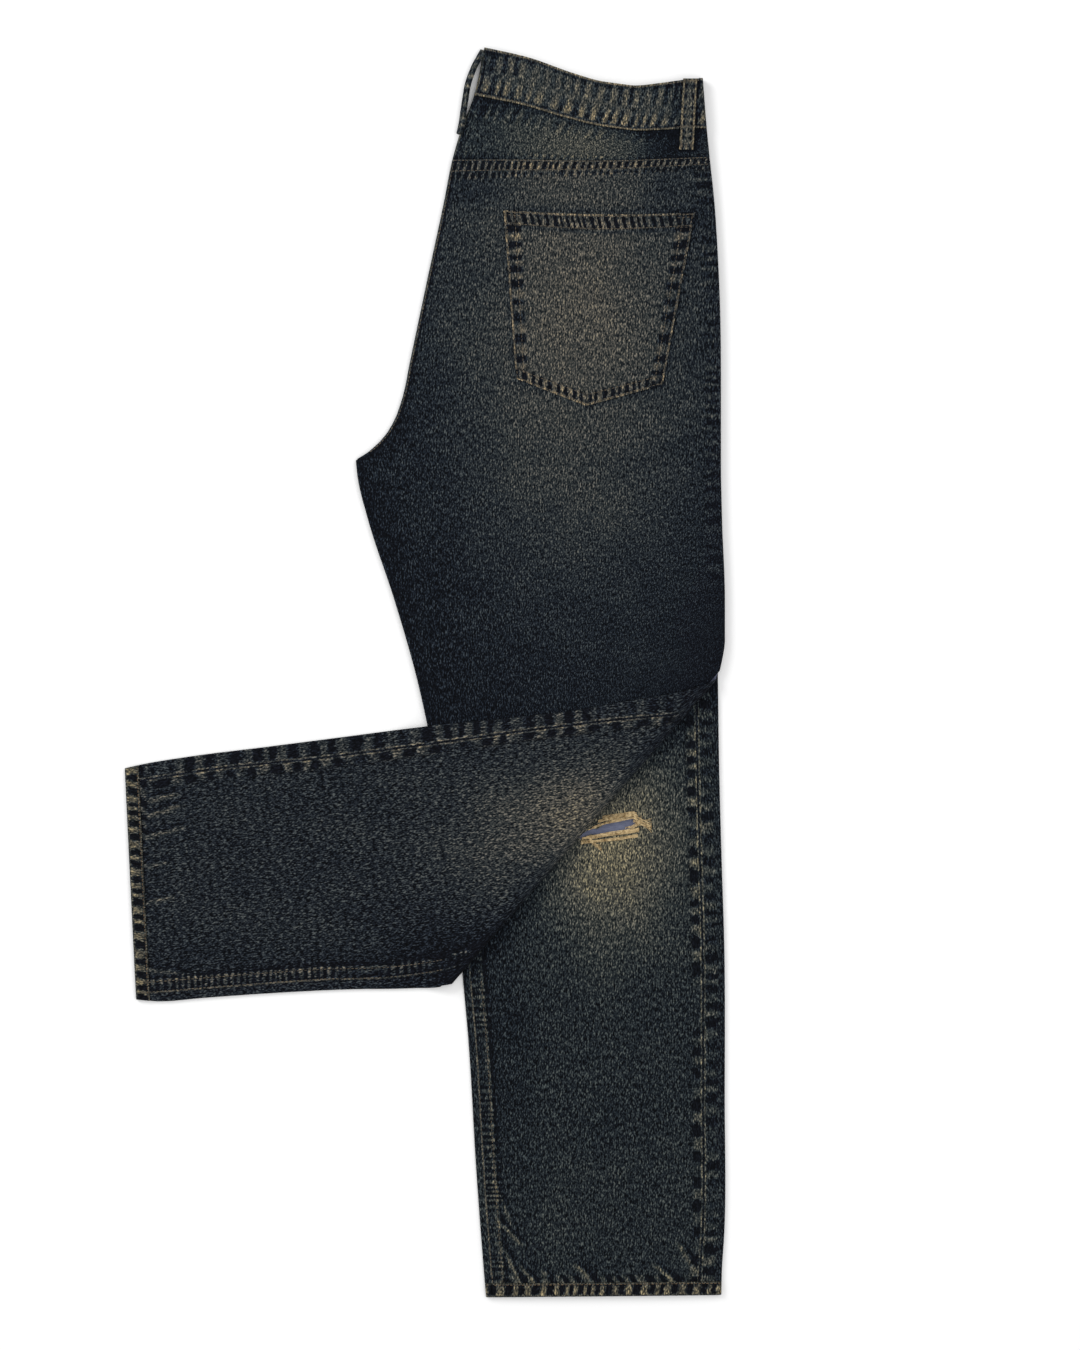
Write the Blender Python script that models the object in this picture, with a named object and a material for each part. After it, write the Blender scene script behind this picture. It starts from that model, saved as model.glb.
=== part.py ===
"""Ripped jeans lying flat on a surface at z = 0, in metres, with +Z up and +Y towards the waist.

The jeans are folded in half down the middle with the back outside, so four layers of denim lie on
each other and the wearer's right leg is on top. That leg is turned back at the knee, along one
slanting fold, and uncovers the ripped knee of the left leg below it. The pieces are those that a
maker cuts and sews. What the fold hides is one rounded solid.
"""

import math

import bpy
import numpy as np

MM = 0.001  # every size below is in millimetres

# Thicknesses and clearances
CLOTH = 1.0  # one ply of denim
BAND = 1.8  # a waistband or a turned hem, which is more than one ply
SEAM_GAP = 0.3  # between two pieces in one surface
LAYER_GAP = 0.4  # between two layers
TURNED_GAP = 0.55  # under the turned leg, whose sections cross the thigh's at a slant
RIDGE = 0.6  # how far a felled seam stands out of the cloth

# Outline of the folded jeans, seen from above, as (x, y) points on smooth curves
WAIST_Y = 549.0
BAND_Y = 507.0
YOKE_Y = 451.0
CROTCH_Y = 187.0
HEM_LEFT_Y = -549.0
HEM_RIGHT_Y = -547.0
HEM_DEPTH = 12.0
SEAT_EDGE = [(52, WAIST_Y), (43, BAND_Y), (31, 475), (24, YOKE_Y), (17, 416), (2, 346), (-13, 275),
             (-20.5, 240), (-27, 222), (-38, 205), (-50, 194), (-61, CROTCH_Y)]
INSEAM_EDGE = [(-61, CROTCH_Y), (-59, 170), (-50, 134), (-27, 64), (-7, -6), (2, -46), (19, -138),
               (30, -207), (33, -265), (38, -323), (45, -438), (52.5, -537), (53.5, HEM_LEFT_Y)]
UPPER_SIDE = [(244, 522), (247.5, 478), (250, 453), (254, 416), (257, 372), (259, 328), (260, 258),
              (260, CROTCH_Y), (261, 134), (263.5, 64), (263.5, 29), (261, 11), (257, -6)]
LOWER_SIDE = [(244, 522), (247, 478), (249, 453), (253, 416), (256, 372), (257.5, 328), (258, 258),
              (257.5, CROTCH_Y), (256.5, 99), (256.5, 46), (257.5, -6), (258.5, -77), (261, -172),
              (263, -235), (263.5, -376), (263, -495), (261, -526), (260.5, HEM_RIGHT_Y)]

# The waist dips between the centre back and the side: its depth by height, and its shape across
WAIST_DIP = [(WAIST_Y, 15.5), (BAND_Y, 11.5), (YOKE_Y, 2.5), (380, 0.0), (-600, 0.0)]
DIP_SHAPE = [(0, 0), (0.22, 0.27), (0.4, 0.75), (0.55, 1), (0.66, 1), (0.8, 0.65), (0.9, 0.3), (1, 0)]

# Where a row across the cloth starts on the left edge and where it ends on the side, by height
UPPER_ROWS = [(WAIST_Y, 522), (BAND_Y, 478), (YOKE_Y, 453), (240, 240), (CROTCH_Y, 187), (-46, 64),
              (-200, 28), (-252, 6)]
LOWER_ROWS = [(WAIST_Y, 522), (BAND_Y, 478), (YOKE_Y, 453), (240, 240), (CROTCH_Y, 187), (-46, 116),
              (-207, 57), (-265, -50), (-330, -210), (-438, -405), (-537, -535),
              (HEM_LEFT_Y, HEM_RIGHT_Y)]

# The slanting knee fold and the leg that is turned back over it
FOLD_SIDE = np.array([257.0, -5.0])
FOLD_INSEAM = np.array([24.0, -273.0])
TURNED_TOP = [(257, -5), (238, -12.5), (220, -17.5), (171, -26), (139, -32), (99, -37), (1.5, -47),
              (-68, -56), (-138, -65), (-209, -74), (-251, -81), (-264, -84)]
TURNED_BOTTOM = [(24, -273), (13, -276), (-12, -277.5), (-68, -278.5), (-138, -282),
                 (-195, -286), (-233, -289), (-254, -287.5)]
TURNED_ROWS = [(257, 24.5), (251, 20), (150, -28), (0, -92), (-138, -168), (-251, -241), (-264, -254)]
TURNED_TAIL = 34.0  # how far the cloth runs on under the thigh from the fold
ROLL_FROM = 20.5  # from the side edge to where the front panel's own roll starts

# How far the back panels wrap round the edges and show beside the front ones
OUTSEAM_IN = 19.5  # lower leg, from the side edge to the outseam
INSEAM_IN = 5.5  # lower leg, from the inner edge to the inseam
FELL_WIDTH = 12.5  # felled inseam and yoke seam
TURNED_OUTSEAM_IN = [(257, 8), (251, 9), (236, 22), (225, 23), (171, 18), (79, 14), (-22, 15.5), (-192, 13), (-264, 13)]
TURNED_INSEAM_IN = [(24, 5), (13, 9), (-12, 9.5), (-92, 8), (-254, 6)]

# Heights of the outer surfaces above the floor
BODY_EDGE = [(BAND_Y, 8.6), (YOKE_Y, 7.6), (380, 7.0), (-600, 7.0)]
BODY_CROWN = [(BAND_Y, 9.4), (YOKE_Y, 9.3), (300, 9.4), (100, 9.2), (-600, 9.2)]
CROWN_AT_FOLD = 7.9
FOLD_SLACK = 60.0  # the crown drops to the fold over this length
CROWN_RUN = 28.0  # the surface climbs from edge to crown over about this length
BAND_EDGE_HEIGHT, BAND_CROWN_HEIGHT, BAND_SPLIT = 9.7, 10.6, 4.85
LOWER_TUBE = 3.4  # height of the lower leg at its edges
LEG_LOFT = 1.3
TURNED_TUBE = 3.0  # height of the turned leg at its edges
TURNED_LOFT = 1.1
HEM_TUBE = 4.4  # height of both legs at their hems
DROP = 32.0  # the turned leg comes down to the floor over this length beside the thigh
OVERHANG = 5.0  # and it starts to drop this far past the thigh's edge

# Back pocket, as the corners of its outline
POCKET = {"top_left": (69, 406), "top_right": (237, 404), "left": (80, 258), "tip": (141.5, 234),
          "right": (208.5, 252.5)}
POCKET_DIP = 3.0  # its mouth sags by this much in the middle
POCKET_HEM = 12.0

# Belt loops
LOOP_WIDTH = 12.5
LOOP_PLY = 1.8
SIDE_LOOP = [(232.8, 521.0), (230.8, 485.0), (229.4, 459.0)]  # its middle line, top to bottom
CENTRE_LOOP = [(48.6, 547.8), (41.0, 534.0), (35.3, 519.0), (33.0, 507.0), (31.2, 495.0),
               (29.4, 483.0), (27.4, 474.0)]  # its outer side, seen from above
CENTRE_LOOP_PLY = 2.6

# The rip in the left knee, as the outline of the hole
RIP = [(123, -147.5), (129, -141.5), (137, -142.5), (146, -136.5), (151, -137.5), (158, -132.5),
       (166, -130), (171, -130.5), (178, -127), (186, -127.5), (184, -131), (186.5, -134),
       (180, -137.5), (173, -138.5), (168, -141.5), (160, -140.5), (152, -143.5), (146, -142),
       (137, -146), (131, -144.5)]

COLOURS = {  # base colour, roughness
    "denim": ((0.030, 0.036, 0.042), 0.92),
    "denim_worn": ((0.060, 0.062, 0.056), 0.92),
    "denim_inside": ((0.130, 0.150, 0.190), 0.95),
}


def clear_scene():
    for old in list(bpy.data.objects):
        bpy.data.objects.remove(old, do_unlink=True)


def material(name):
    found = bpy.data.materials.get(name)
    if found:
        return found
    made = bpy.data.materials.new(name)
    made.use_nodes = True
    colour, roughness = COLOURS[name]
    shader = made.node_tree.nodes["Principled BSDF"]
    shader.inputs["Base Color"].default_value = (*colour, 1.0)
    shader.inputs["Roughness"].default_value = roughness
    shader.inputs["Metallic"].default_value = 0.0
    made.diffuse_color = (*colour, 1.0)
    return made


def smooth_step(t):
    t = np.clip(t, 0.0, 1.0)
    return t * t * (3.0 - 2.0 * t)


def through(points):
    """A smooth function through (key, value) points."""
    table = np.array(sorted(points), float)
    key, value = table[:, 0], table[:, 1]
    step = np.diff(key)
    slope = np.diff(value) / step
    tangent = np.concatenate([slope[:1], slope[:1], slope[-1:]])
    if len(key) > 2:
        middle = (slope[:-1] * step[1:] + slope[1:] * step[:-1]) / (step[:-1] + step[1:])
        middle = np.where(slope[:-1] * slope[1:] > 0, middle, 0.0)
        tangent = np.concatenate([slope[:1], middle, slope[-1:]])

    def at(k):
        k = np.clip(np.asarray(k, float), key[0], key[-1])
        i = np.clip(np.searchsorted(key, k) - 1, 0, len(key) - 2)
        t = (k - key[i]) / step[i]
        rise = value[i + 1] - value[i]
        start, end = tangent[i] * step[i], tangent[i + 1] * step[i]
        return value[i] + t * start + t * t * (3 * rise - 2 * start - end) + t**3 * (start + end - 2 * rise)

    return at


def by_height(outline):
    return through([(y, x) for x, y in outline])


seat_x = by_height(SEAT_EDGE)
inseam_x = by_height(INSEAM_EDGE)
upper_side_x = by_height(UPPER_SIDE)
lower_side_x = by_height(LOWER_SIDE)
dip_depth = through(WAIST_DIP)
dip_shape = through(DIP_SHAPE)
upper_partner = through(UPPER_ROWS)
lower_partner = through(LOWER_ROWS)
body_edge = through(BODY_EDGE)
body_crown = through(BODY_CROWN)
turned_top_y = through(TURNED_TOP)
turned_bottom_y = through(TURNED_BOTTOM)
turned_partner = through(TURNED_ROWS)
turned_outseam_in = through(TURNED_OUTSEAM_IN)
turned_inseam_in = through(TURNED_INSEAM_IN)

FOLD_ALONG = (FOLD_INSEAM - FOLD_SIDE) / np.linalg.norm(FOLD_INSEAM - FOLD_SIDE)
FOLD_IN = np.array([FOLD_ALONG[1], -FOLD_ALONG[0]])  # from the fold towards the thigh


def left_x(y):
    return np.where(y >= CROTCH_Y, seat_x(y), inseam_x(y))


def from_left(x, y):
    """Distance in from the left edge, square to it."""
    nudge = 2.0
    lean = np.where(
        y >= CROTCH_Y,
        (seat_x(y + nudge) - seat_x(y - nudge)),
        (inseam_x(y + nudge) - inseam_x(y - nudge)),
    ) / (2 * nudge)
    return (x - left_x(y)) / np.sqrt(1 + lean * lean)


def from_fold(x, y):
    return (x - FOLD_SIDE[0]) * FOLD_IN[0] + (y - FOLD_SIDE[1]) * FOLD_IN[1]


def climb(distance):
    return 1.0 - np.exp(-np.maximum(distance, 0.0) / CROWN_RUN)


def body_top(x, y):
    """Outer surface of the top layer over the seat and thigh."""
    crown = CROWN_AT_FOLD + (body_crown(y) - CROWN_AT_FOLD) * smooth_step(from_fold(x, y) / FOLD_SLACK)
    edge = body_edge(y)
    return edge + (crown - edge) * climb(from_left(x, y)) * climb(upper_side_x(y) - x)


def leg_top(x, y):
    """Outer surface of the lower leg, which lies flatter under the fold."""
    loft = LEG_LOFT * smooth_step((-from_fold(x, y) - 8.0) / 50.0)
    return LOWER_TUBE + loft * climb(from_left(x, y)) * climb(lower_side_x(y) - x)


def under_turned(x, y):
    """What the turned leg lies on: the thigh, and the floor beside it."""
    over_thigh = smooth_step((from_left(x, y) + OVERHANG + DROP) / DROP)
    return over_thigh * (body_top(x, y) + TURNED_GAP)


def turned_top(x, y):
    """Outer surface of the turned leg."""
    from_top = turned_top_y(x) - y
    from_bottom = y - turned_bottom_y(np.clip(x, -254, 24))
    loft = TURNED_LOFT * climb(from_top) * climb(np.where(x > 13, CROWN_RUN * 4, from_bottom))
    return under_turned(x, y) + TURNED_TUBE + loft


def between(start, end, share, bow=0.0):
    """Points on the row from start to end, which dips by bow."""
    share = np.asarray(share, float)
    xy = np.asarray(start) + np.outer(share, np.asarray(end) - np.asarray(start))
    xy[:, 1] -= bow * dip_shape(share)
    return xy


def row_ends(y_left, partner, side_x):
    y_right = float(partner(y_left))
    return (float(left_x(y_left)), y_left), (float(side_x(y_right)), y_right)


def spread(length, near, count):
    """Distances across a row: close together near both ends, and even between."""
    ends = np.array(near)
    inner = np.linspace(ends[-1], length - ends[-1], count)
    return np.concatenate([ends[:-1], inner, (length - ends[:-1])[::-1]])


def rolled_end(height, stop, turn, run, steps=6):
    """One rolled edge as (inset, drop) from the flat span outwards: an arc that turns by so many
    degrees and ends, after a straight run, at the height called stop."""
    turn = math.radians(turn)
    fall = abs(height - stop) - run * math.sin(turn)
    radius = fall / (1.0 - math.cos(turn))
    angles = np.linspace(0.0, turn, steps)
    inset = radius - radius * np.sin(angles)
    drop = radius - radius * np.cos(angles)
    if run > 0:
        for share in (0.5, 1.0):
            inset = np.append(inset, inset[steps - 1] - share * run * math.cos(turn))
            drop = np.append(drop, drop[steps - 1] + share * run * math.sin(turn))
    return inset, drop


def mesh_object(name, points, faces, colour):
    mesh = bpy.data.meshes.new(name)
    mesh.from_pydata([tuple(p * MM) for p in np.asarray(points, float)], [], faces)
    mesh.materials.append(material(colour))
    mesh.shade_smooth()
    mesh.set_sharp_from_angle(angle=math.radians(40))
    made = bpy.data.objects.new(name, mesh)
    bpy.context.scene.collection.objects.link(made)
    return made


def wall(name, rows, thickness, colour, up):
    """Cloth with its outer surface through rows of points, and its thickness inside that.
    up is +1 where the last row's middle faces up, -1 where it faces down."""
    rows = [np.asarray(r, float) for r in rows]
    count = len(rows[0])
    points = np.concatenate(rows)
    faces = []
    for j in range(len(rows) - 1):
        for i in range(count - 1):
            a = j * count + i
            faces.append((a, a + 1, a + count + 1, a + count))
    middle = (len(rows) - 2) * count + count // 2
    across = points[middle + 1] - points[middle]
    along = points[middle + count] - points[middle]
    if np.cross(across, along)[2] * up < 0:
        faces = [f[::-1] for f in faces]
    made = mesh_object(name, points, faces, colour)
    solid = made.modifiers.new("Thickness", "SOLIDIFY")
    solid.thickness = thickness * MM
    solid.offset = -1.0
    solid.use_even_offset = True
    solid.use_quality_normals = True
    return made


def slab(name, rows, low, high, colour):
    """A solid between two heights over rows of (x, y) points."""
    rows = [np.asarray(r, float) for r in rows]
    count, total = len(rows[0]), len(rows) * len(rows[0])
    xy = np.concatenate(rows)
    bottom = np.column_stack([xy, low(xy[:, 0], xy[:, 1])])
    top = np.column_stack([xy, high(xy[:, 0], xy[:, 1])])
    faces = []
    for j in range(len(rows) - 1):
        for i in range(count - 1):
            a = j * count + i
            faces.append((a, a + count, a + count + 1, a + 1))
            faces.append((total + a, total + a + 1, total + a + count + 1, total + a + count))
    rim = list(range(count - 1)) + [j * count + count - 1 for j in range(len(rows) - 1)]
    rim += [total - 1 - i for i in range(count - 1)]
    rim += [j * count for j in range(len(rows) - 1, 0, -1)]
    for here, after in zip(rim, rim[1:] + rim[:1]):
        faces.append((here, after, total + after, total + here))
    across, along = xy[1] - xy[0], xy[count] - xy[0]
    if across[0] * along[1] - across[1] * along[0] < 0:
        faces = [f[::-1] for f in faces]
    return mesh_object(name, np.concatenate([bottom, top]), faces, colour)


def over_section(start, end, top, stop, turn_left, inner, bow=0.0, steps=6):
    """Outer line of a layer that rolls down at both edges, from the left to the side."""
    length = float(np.linalg.norm(np.asarray(end) - np.asarray(start)))
    probe = between(start, end, [2.0 / length, 1 - 2.0 / length], bow)
    left_z, right_z = top(probe[:, 0], probe[:, 1])
    left_in, left_drop = rolled_end(left_z, stop, turn_left, 0.0, steps)
    right_in, right_drop = rolled_end(right_z, stop, 180.0, 0.0, steps)
    span = np.concatenate([[left_in[0]], inner, [length - right_in[0]]])
    where = np.concatenate([left_in[:0:-1], span, length - right_in[1:]])
    xy = between(start, end, where / length, bow)
    z = top(xy[:, 0], xy[:, 1])
    rolled = steps - 1
    z[:rolled] = left_z - left_drop[:0:-1]
    z[rolled] = left_z
    z[-rolled:] = right_z - right_drop[1:]
    z[-rolled - 1] = right_z
    return np.column_stack([xy, z])


def inner_marks(start, end, count, margin):
    length = float(np.linalg.norm(np.asarray(end) - np.asarray(start)))
    return np.concatenate([[4.2, 9.0], np.linspace(margin, length - margin, count), [length - 9.0, length - 4.2]])


def tube_stop(y):
    """Height at which the upper tube of cloth meets the lower one at the edges."""
    return LOWER_TUBE + (float(body_edge(y)) - 7.0) / 2.0 + LAYER_GAP / 2.0


def turn_at(y):
    """The seat wraps down to the bottom layer, and a leg's edge tucks under itself."""
    return 90.0 + 90.0 * float(smooth_step((CROTCH_Y + 6.0 - y) / 24.0))


def ridged(top, rise, share_of_ridge):
    return lambda x, y: top(x, y) + rise * share_of_ridge(x, y)


def build_upper_back():
    """Right back panel over the seat and thigh, with the felled yoke seam along its top edge."""
    heights = np.concatenate([
        YOKE_Y - np.array([SEAM_GAP, 1.5, FELL_WIDTH - 1.5, FELL_WIDTH + 0.5]),
        np.linspace(415, 215, 9), [204, 195, CROTCH_Y, 181, 172], np.linspace(140, -200, 11), [-228, -250],
    ])
    rows = []
    for y in heights:
        start, end = row_ends(y, upper_partner, upper_side_x)
        on_ridge = RIDGE if YOKE_Y - FELL_WIDTH < y < YOKE_Y - 1.0 else 0.0
        inner = inner_marks(start, end, 13, 20.0)
        rows.append(over_section(start, end, lambda x, z: body_top(x, z) + on_ridge, tube_stop(y) + LAYER_GAP / 2,
                                 turn_at(y), inner, float(dip_depth(y))))
    wall("right_back_panel", rows, CLOTH, "denim", +1)


def build_upper_yoke():
    rows = []
    for y in (BAND_Y - SEAM_GAP, 495, 480, 465, YOKE_Y + SEAM_GAP):
        start, end = row_ends(y, upper_partner, upper_side_x)
        inner = inner_marks(start, end, 11, 20.0)
        rows.append(over_section(start, end, body_top, tube_stop(y) + LAYER_GAP / 2, 90.0, inner, float(dip_depth(y))))
    wall("right_back_yoke", rows, CLOTH, "denim", +1)


def band_top(x, y):
    span = climb(from_left(x, y)) * climb(upper_side_x(y) - x)
    return BAND_EDGE_HEIGHT + (BAND_CROWN_HEIGHT - BAND_EDGE_HEIGHT) * span


def build_upper_band():
    rows = []
    for y in (WAIST_Y, 534, 520, BAND_Y):
        start, end = row_ends(y, upper_partner, upper_side_x)
        inner = inner_marks(start, end, 11, 20.0)
        rows.append(over_section(start, end, band_top, BAND_SPLIT + LAYER_GAP / 2, 90.0, inner, float(dip_depth(y))))
    wall("right_back_waistband", rows, BAND, "denim_worn", +1)


def under_section(start, end, stop, turn_left, runs, over, over_share, inner, bow=0.0, steps=6):
    """Outer line of a layer that lies on the floor, rolls up at both edges and may run back over."""
    length = float(np.linalg.norm(np.asarray(end) - np.asarray(start)))
    left_in, left_rise = rolled_end(0.0, stop, turn_left, runs[0], steps)
    right_in, right_rise = rolled_end(0.0, stop, 180.0, runs[1], steps)
    span = np.concatenate([[left_in[0]], inner, [length - right_in[0]]])
    where = np.concatenate([left_in[:0:-1], span, length - right_in[1:]])
    xy = between(start, end, where / length, bow)
    z = np.zeros(len(where))
    z[: len(left_in) - 1] = left_rise[:0:-1]
    z[-(len(right_in) - 1):] = right_rise[1:]
    on_top = [0, 1, -2, -1]
    z[on_top] += over_share * (over(xy[on_top, 0], xy[on_top, 1]) - stop)
    return np.column_stack([xy, z])


def build_lower_back():
    """Left back panel: the bottom layer from the yoke to the hem. In the leg it wraps over both
    edges and meets the front panel at the two seams."""
    heights = np.concatenate([
        [YOKE_Y - SEAM_GAP], np.linspace(400, 215, 5), [204, 195, CROTCH_Y, 181, 172],
        np.linspace(120, -80, 5), [-120, -160, -200, -235], np.linspace(-265, -500, 9),
        [HEM_LEFT_Y + HEM_DEPTH + SEAM_GAP],
    ])
    rows = []
    for y in heights:
        start, end = row_ends(y, lower_partner, lower_side_x)
        in_leg = float(smooth_step((-110.0 - y) / 80.0))
        runs = (1.2 + (INSEAM_IN - 1.7 - 1.2) * in_leg, 1.2 + (OUTSEAM_IN - 1.7 - 1.2) * in_leg)
        length = float(np.linalg.norm(np.asarray(end) - np.asarray(start)))
        stop = tube_stop(y) - LAYER_GAP / 2
        rows.append(under_section(start, end, stop, turn_at(y), runs, leg_top, in_leg,
                                  np.linspace(25, length - 25, 5), float(dip_depth(y))))
    wall("left_back_panel", rows, CLOTH, "denim_inside", -1)


def build_lower_yoke_and_band():
    for name, heights, thick, colour in (
        ("left_back_yoke", (BAND_Y - SEAM_GAP, 480, YOKE_Y + SEAM_GAP), CLOTH, "denim_inside"),
        ("left_back_waistband", (WAIST_Y, 528, BAND_Y), BAND, "denim_worn"),
    ):
        rows = []
        for y in heights:
            start, end = row_ends(y, lower_partner, lower_side_x)
            stop = BAND_SPLIT if thick == BAND else tube_stop(y)
            length = float(np.linalg.norm(np.asarray(end) - np.asarray(start)))
            rows.append(under_section(start, end, stop - LAYER_GAP / 2, 90.0, (1.2, 1.2), leg_top, 0.0,
                                      np.linspace(25, length - 25, 7), float(dip_depth(y))))
        wall(name, rows, thick, colour, -1)


def build_hidden_bands():
    """The two front waistbands, which lie between the back ones and dip to the centre front."""
    levels = {"left_front_waistband": (BAND + LAYER_GAP, BAND_SPLIT - LAYER_GAP),
              "right_front_waistband": (BAND_SPLIT + LAYER_GAP, None)}
    for name, (low, high) in levels.items():
        rows = []
        for y in (WAIST_Y - 3.0, 527, BAND_Y + 1.5):
            start, end = row_ends(y, upper_partner, upper_side_x)
            share = np.linspace(0.09, 0.972, 12)
            xy = between(start, end, share, float(dip_depth(y)))
            xy[:, 1] -= 34.0 * (1.0 - share) ** 1.5 * (y - BAND_Y) / (WAIST_Y - BAND_Y)
            rows.append(xy)
        if high is None:
            slab(name, rows, lambda x, y: np.full(len(x), low), lambda x, y: band_top(x, y) - BAND - LAYER_GAP,
                 "denim_worn")
        else:
            slab(name, rows, lambda x, y: np.full(len(x), low), lambda x, y: np.full(len(x), high), "denim_worn")


def build_hidden_layers():
    """Both fronts, from the waistband to the knee, as one rounded solid between the two backs."""
    rows = []
    for y in np.concatenate([[BAND_Y - 2.0, 492, 470], np.linspace(440, 215, 8), [200, 188, 176],
                             np.linspace(140, -197, 10)]):
        start, end = row_ends(y, lower_partner, lower_side_x)
        length = float(np.linalg.norm(np.asarray(end) - np.asarray(start)))
        marks = np.concatenate([[12.0, 20.0], np.linspace(36, length - 40, 9), [length - 26.0]])
        rows.append(between(start, end, marks / length, float(dip_depth(y))))
    slab("hidden_layers", rows, lambda x, y: np.full(len(x), CLOTH + LAYER_GAP),
         lambda x, y: body_top(x, y) - CLOTH - LAYER_GAP, "denim_inside")


def leg_rows(first, last, marks_of):
    rows = []
    for y in np.concatenate([[first], np.linspace(first - 22, last + 18, 14), [last]]):
        start, end = row_ends(y, lower_partner, lower_side_x)
        length = float(np.linalg.norm(np.asarray(end) - np.asarray(start)))
        rows.append(between(start, end, marks_of(length) / length))
    return rows


def build_lower_front():
    """Left front panel of the lower leg, with the felled inseam raised and the knee ripped open."""
    fell_start, fell_end = INSEAM_IN + SEAM_GAP, INSEAM_IN + FELL_WIDTH

    def marks(length):
        inner = np.linspace(34, length - OUTSEAM_IN - 22, 9)
        return np.concatenate([[fell_start, fell_start + 0.8, fell_end - 0.8, fell_end, 25], inner,
                               [length - OUTSEAM_IN - 8, length - OUTSEAM_IN - SEAM_GAP]])

    rows = leg_rows(-208.0, HEM_LEFT_Y + HEM_DEPTH + SEAM_GAP, marks)

    def on_fell(x, y):
        inset = from_left(x, y)
        shows = smooth_step((-from_fold(x, y) - 3.0) / 12.0)
        return shows * smooth_step((inset - fell_start) / 0.7) * smooth_step((fell_end - inset) / 0.7)

    panel = slab("left_front_panel", rows, lambda x, y: leg_top(x, y) - CLOTH, ridged(leg_top, RIDGE, on_fell),
                 "denim")
    cutter = rip_cutter()
    cut = panel.modifiers.new("Rip", "BOOLEAN")
    cut.operation = "DIFFERENCE"
    cut.object = cutter
    cut.solver = "EXACT"


def rip_cutter():
    outline = np.array(RIP, float)
    count = len(outline)
    low = np.column_stack([outline, np.full(count, 1.5)])
    high = np.column_stack([outline, np.full(count, 9.0)])
    area = np.cross(outline, np.roll(outline, -1, axis=0)).sum()
    faces = [tuple(range(count))[::-1], tuple(range(count, 2 * count))]
    faces += [(i, (i + 1) % count, count + (i + 1) % count, count + i) for i in range(count)]
    if area < 0:
        faces = [f[::-1] for f in faces]
    cutter = mesh_object("rip_cutter", np.concatenate([low, high]), faces, "denim")
    cutter.hide_render = True
    cutter.display_type = "WIRE"
    return cutter


def hem_top(x, y):
    return leg_top(x, y) + HEM_TUBE - LOWER_TUBE


def build_lower_hem():
    first = HEM_LEFT_Y + HEM_DEPTH
    front, back = [], []
    for y in (first, first - HEM_DEPTH / 2, HEM_LEFT_Y):
        start, end = row_ends(y, lower_partner, lower_side_x)
        length = float(np.linalg.norm(np.asarray(end) - np.asarray(start)))
        marks = np.linspace(INSEAM_IN + SEAM_GAP, length - OUTSEAM_IN - SEAM_GAP, 12)
        front.append(between(start, end, marks / length))
        runs = (INSEAM_IN - HEM_TUBE / 2, OUTSEAM_IN - HEM_TUBE / 2)
        back.append(under_section(start, end, HEM_TUBE, 180.0, runs, hem_top, 1.0,
                                  np.linspace(25, length - 25, 5)))
    slab("left_front_hem", front, lambda x, y: hem_top(x, y) - BAND, hem_top, "denim_worn")
    wall("left_back_hem", back, BAND, "denim_worn", -1)


TURNED_MARKS = np.concatenate([
    [251, 246, 238, 226], np.linspace(210, 120, 5), np.linspace(105, -60, 16), np.linspace(-80, -238, 7),
    [-264.0 + HEM_DEPTH + SEAM_GAP],
])


def turned_ends(x_top):
    x_bottom = float(turned_partner(x_top))
    return (x_top, float(turned_top_y(x_top))), (x_bottom, float(turned_bottom_y(x_bottom)))


def turned_section(x_top, thick_tube, top, inner_count=14, steps=6):
    """Outer line of the turned leg's back panel: a strip on top, the top edge, the underside, the
    bottom edge and the other strip."""
    start, end = turned_ends(x_top)
    length = float(np.linalg.norm(np.asarray(end) - np.asarray(start)))
    radius = thick_tube / 2.0
    strips = (float(turned_outseam_in(start[0])), float(turned_inseam_in(end[0])))
    angles = np.linspace(0.0, math.pi, steps)
    roll = radius - radius * np.sin(angles)
    top_in = np.concatenate([[strips[0], (strips[0] + radius) / 2], roll[::-1]])
    bottom_in = np.concatenate([roll, [(strips[1] + radius) / 2, strips[1]]])
    inner = np.linspace(14, length - 14, inner_count)
    where = np.concatenate([top_in, inner, length - bottom_in])
    xy = between(start, end, where / length)
    floor = under_turned(xy[:, 0], xy[:, 1])
    z = floor.copy()
    rise = radius - radius * np.cos(angles)
    z[2: 2 + steps] = floor[2 + steps] + rise[::-1]
    z[-2 - steps: -2] = floor[-3 - steps] + rise
    z[[0, 1, -2, -1]] = top(xy[[0, 1, -2, -1], 0], xy[[0, 1, -2, -1], 1])
    return np.column_stack([xy, z])


def hem_line(share):
    """Row start on the turned leg's top edge, share of the hem's depth from the hem line."""
    return -264.0 + HEM_DEPTH * (1.0 - share)


def turned_hem_top(x, y):
    return turned_top(x, y) + HEM_TUBE - TURNED_TUBE


def build_turned_back():
    rows = [turned_section(x, TURNED_TUBE, turned_top) for x in TURNED_MARKS]
    wall("right_back_panel_turned", rows, CLOTH, "denim", -1)
    hem = [turned_section(hem_line(s), HEM_TUBE, turned_hem_top) for s in (0.0, 0.5, 1.0)]
    wall("right_back_hem", hem, BAND, "denim_worn", -1)


def turned_front_row(x_top, count=14):
    start, end = turned_ends(x_top)
    length = float(np.linalg.norm(np.asarray(end) - np.asarray(start)))
    low = float(turned_outseam_in(start[0])) + SEAM_GAP
    high = length - float(turned_inseam_in(end[0])) - SEAM_GAP
    return between(start, end, np.linspace(low, high, count) / length)


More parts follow.
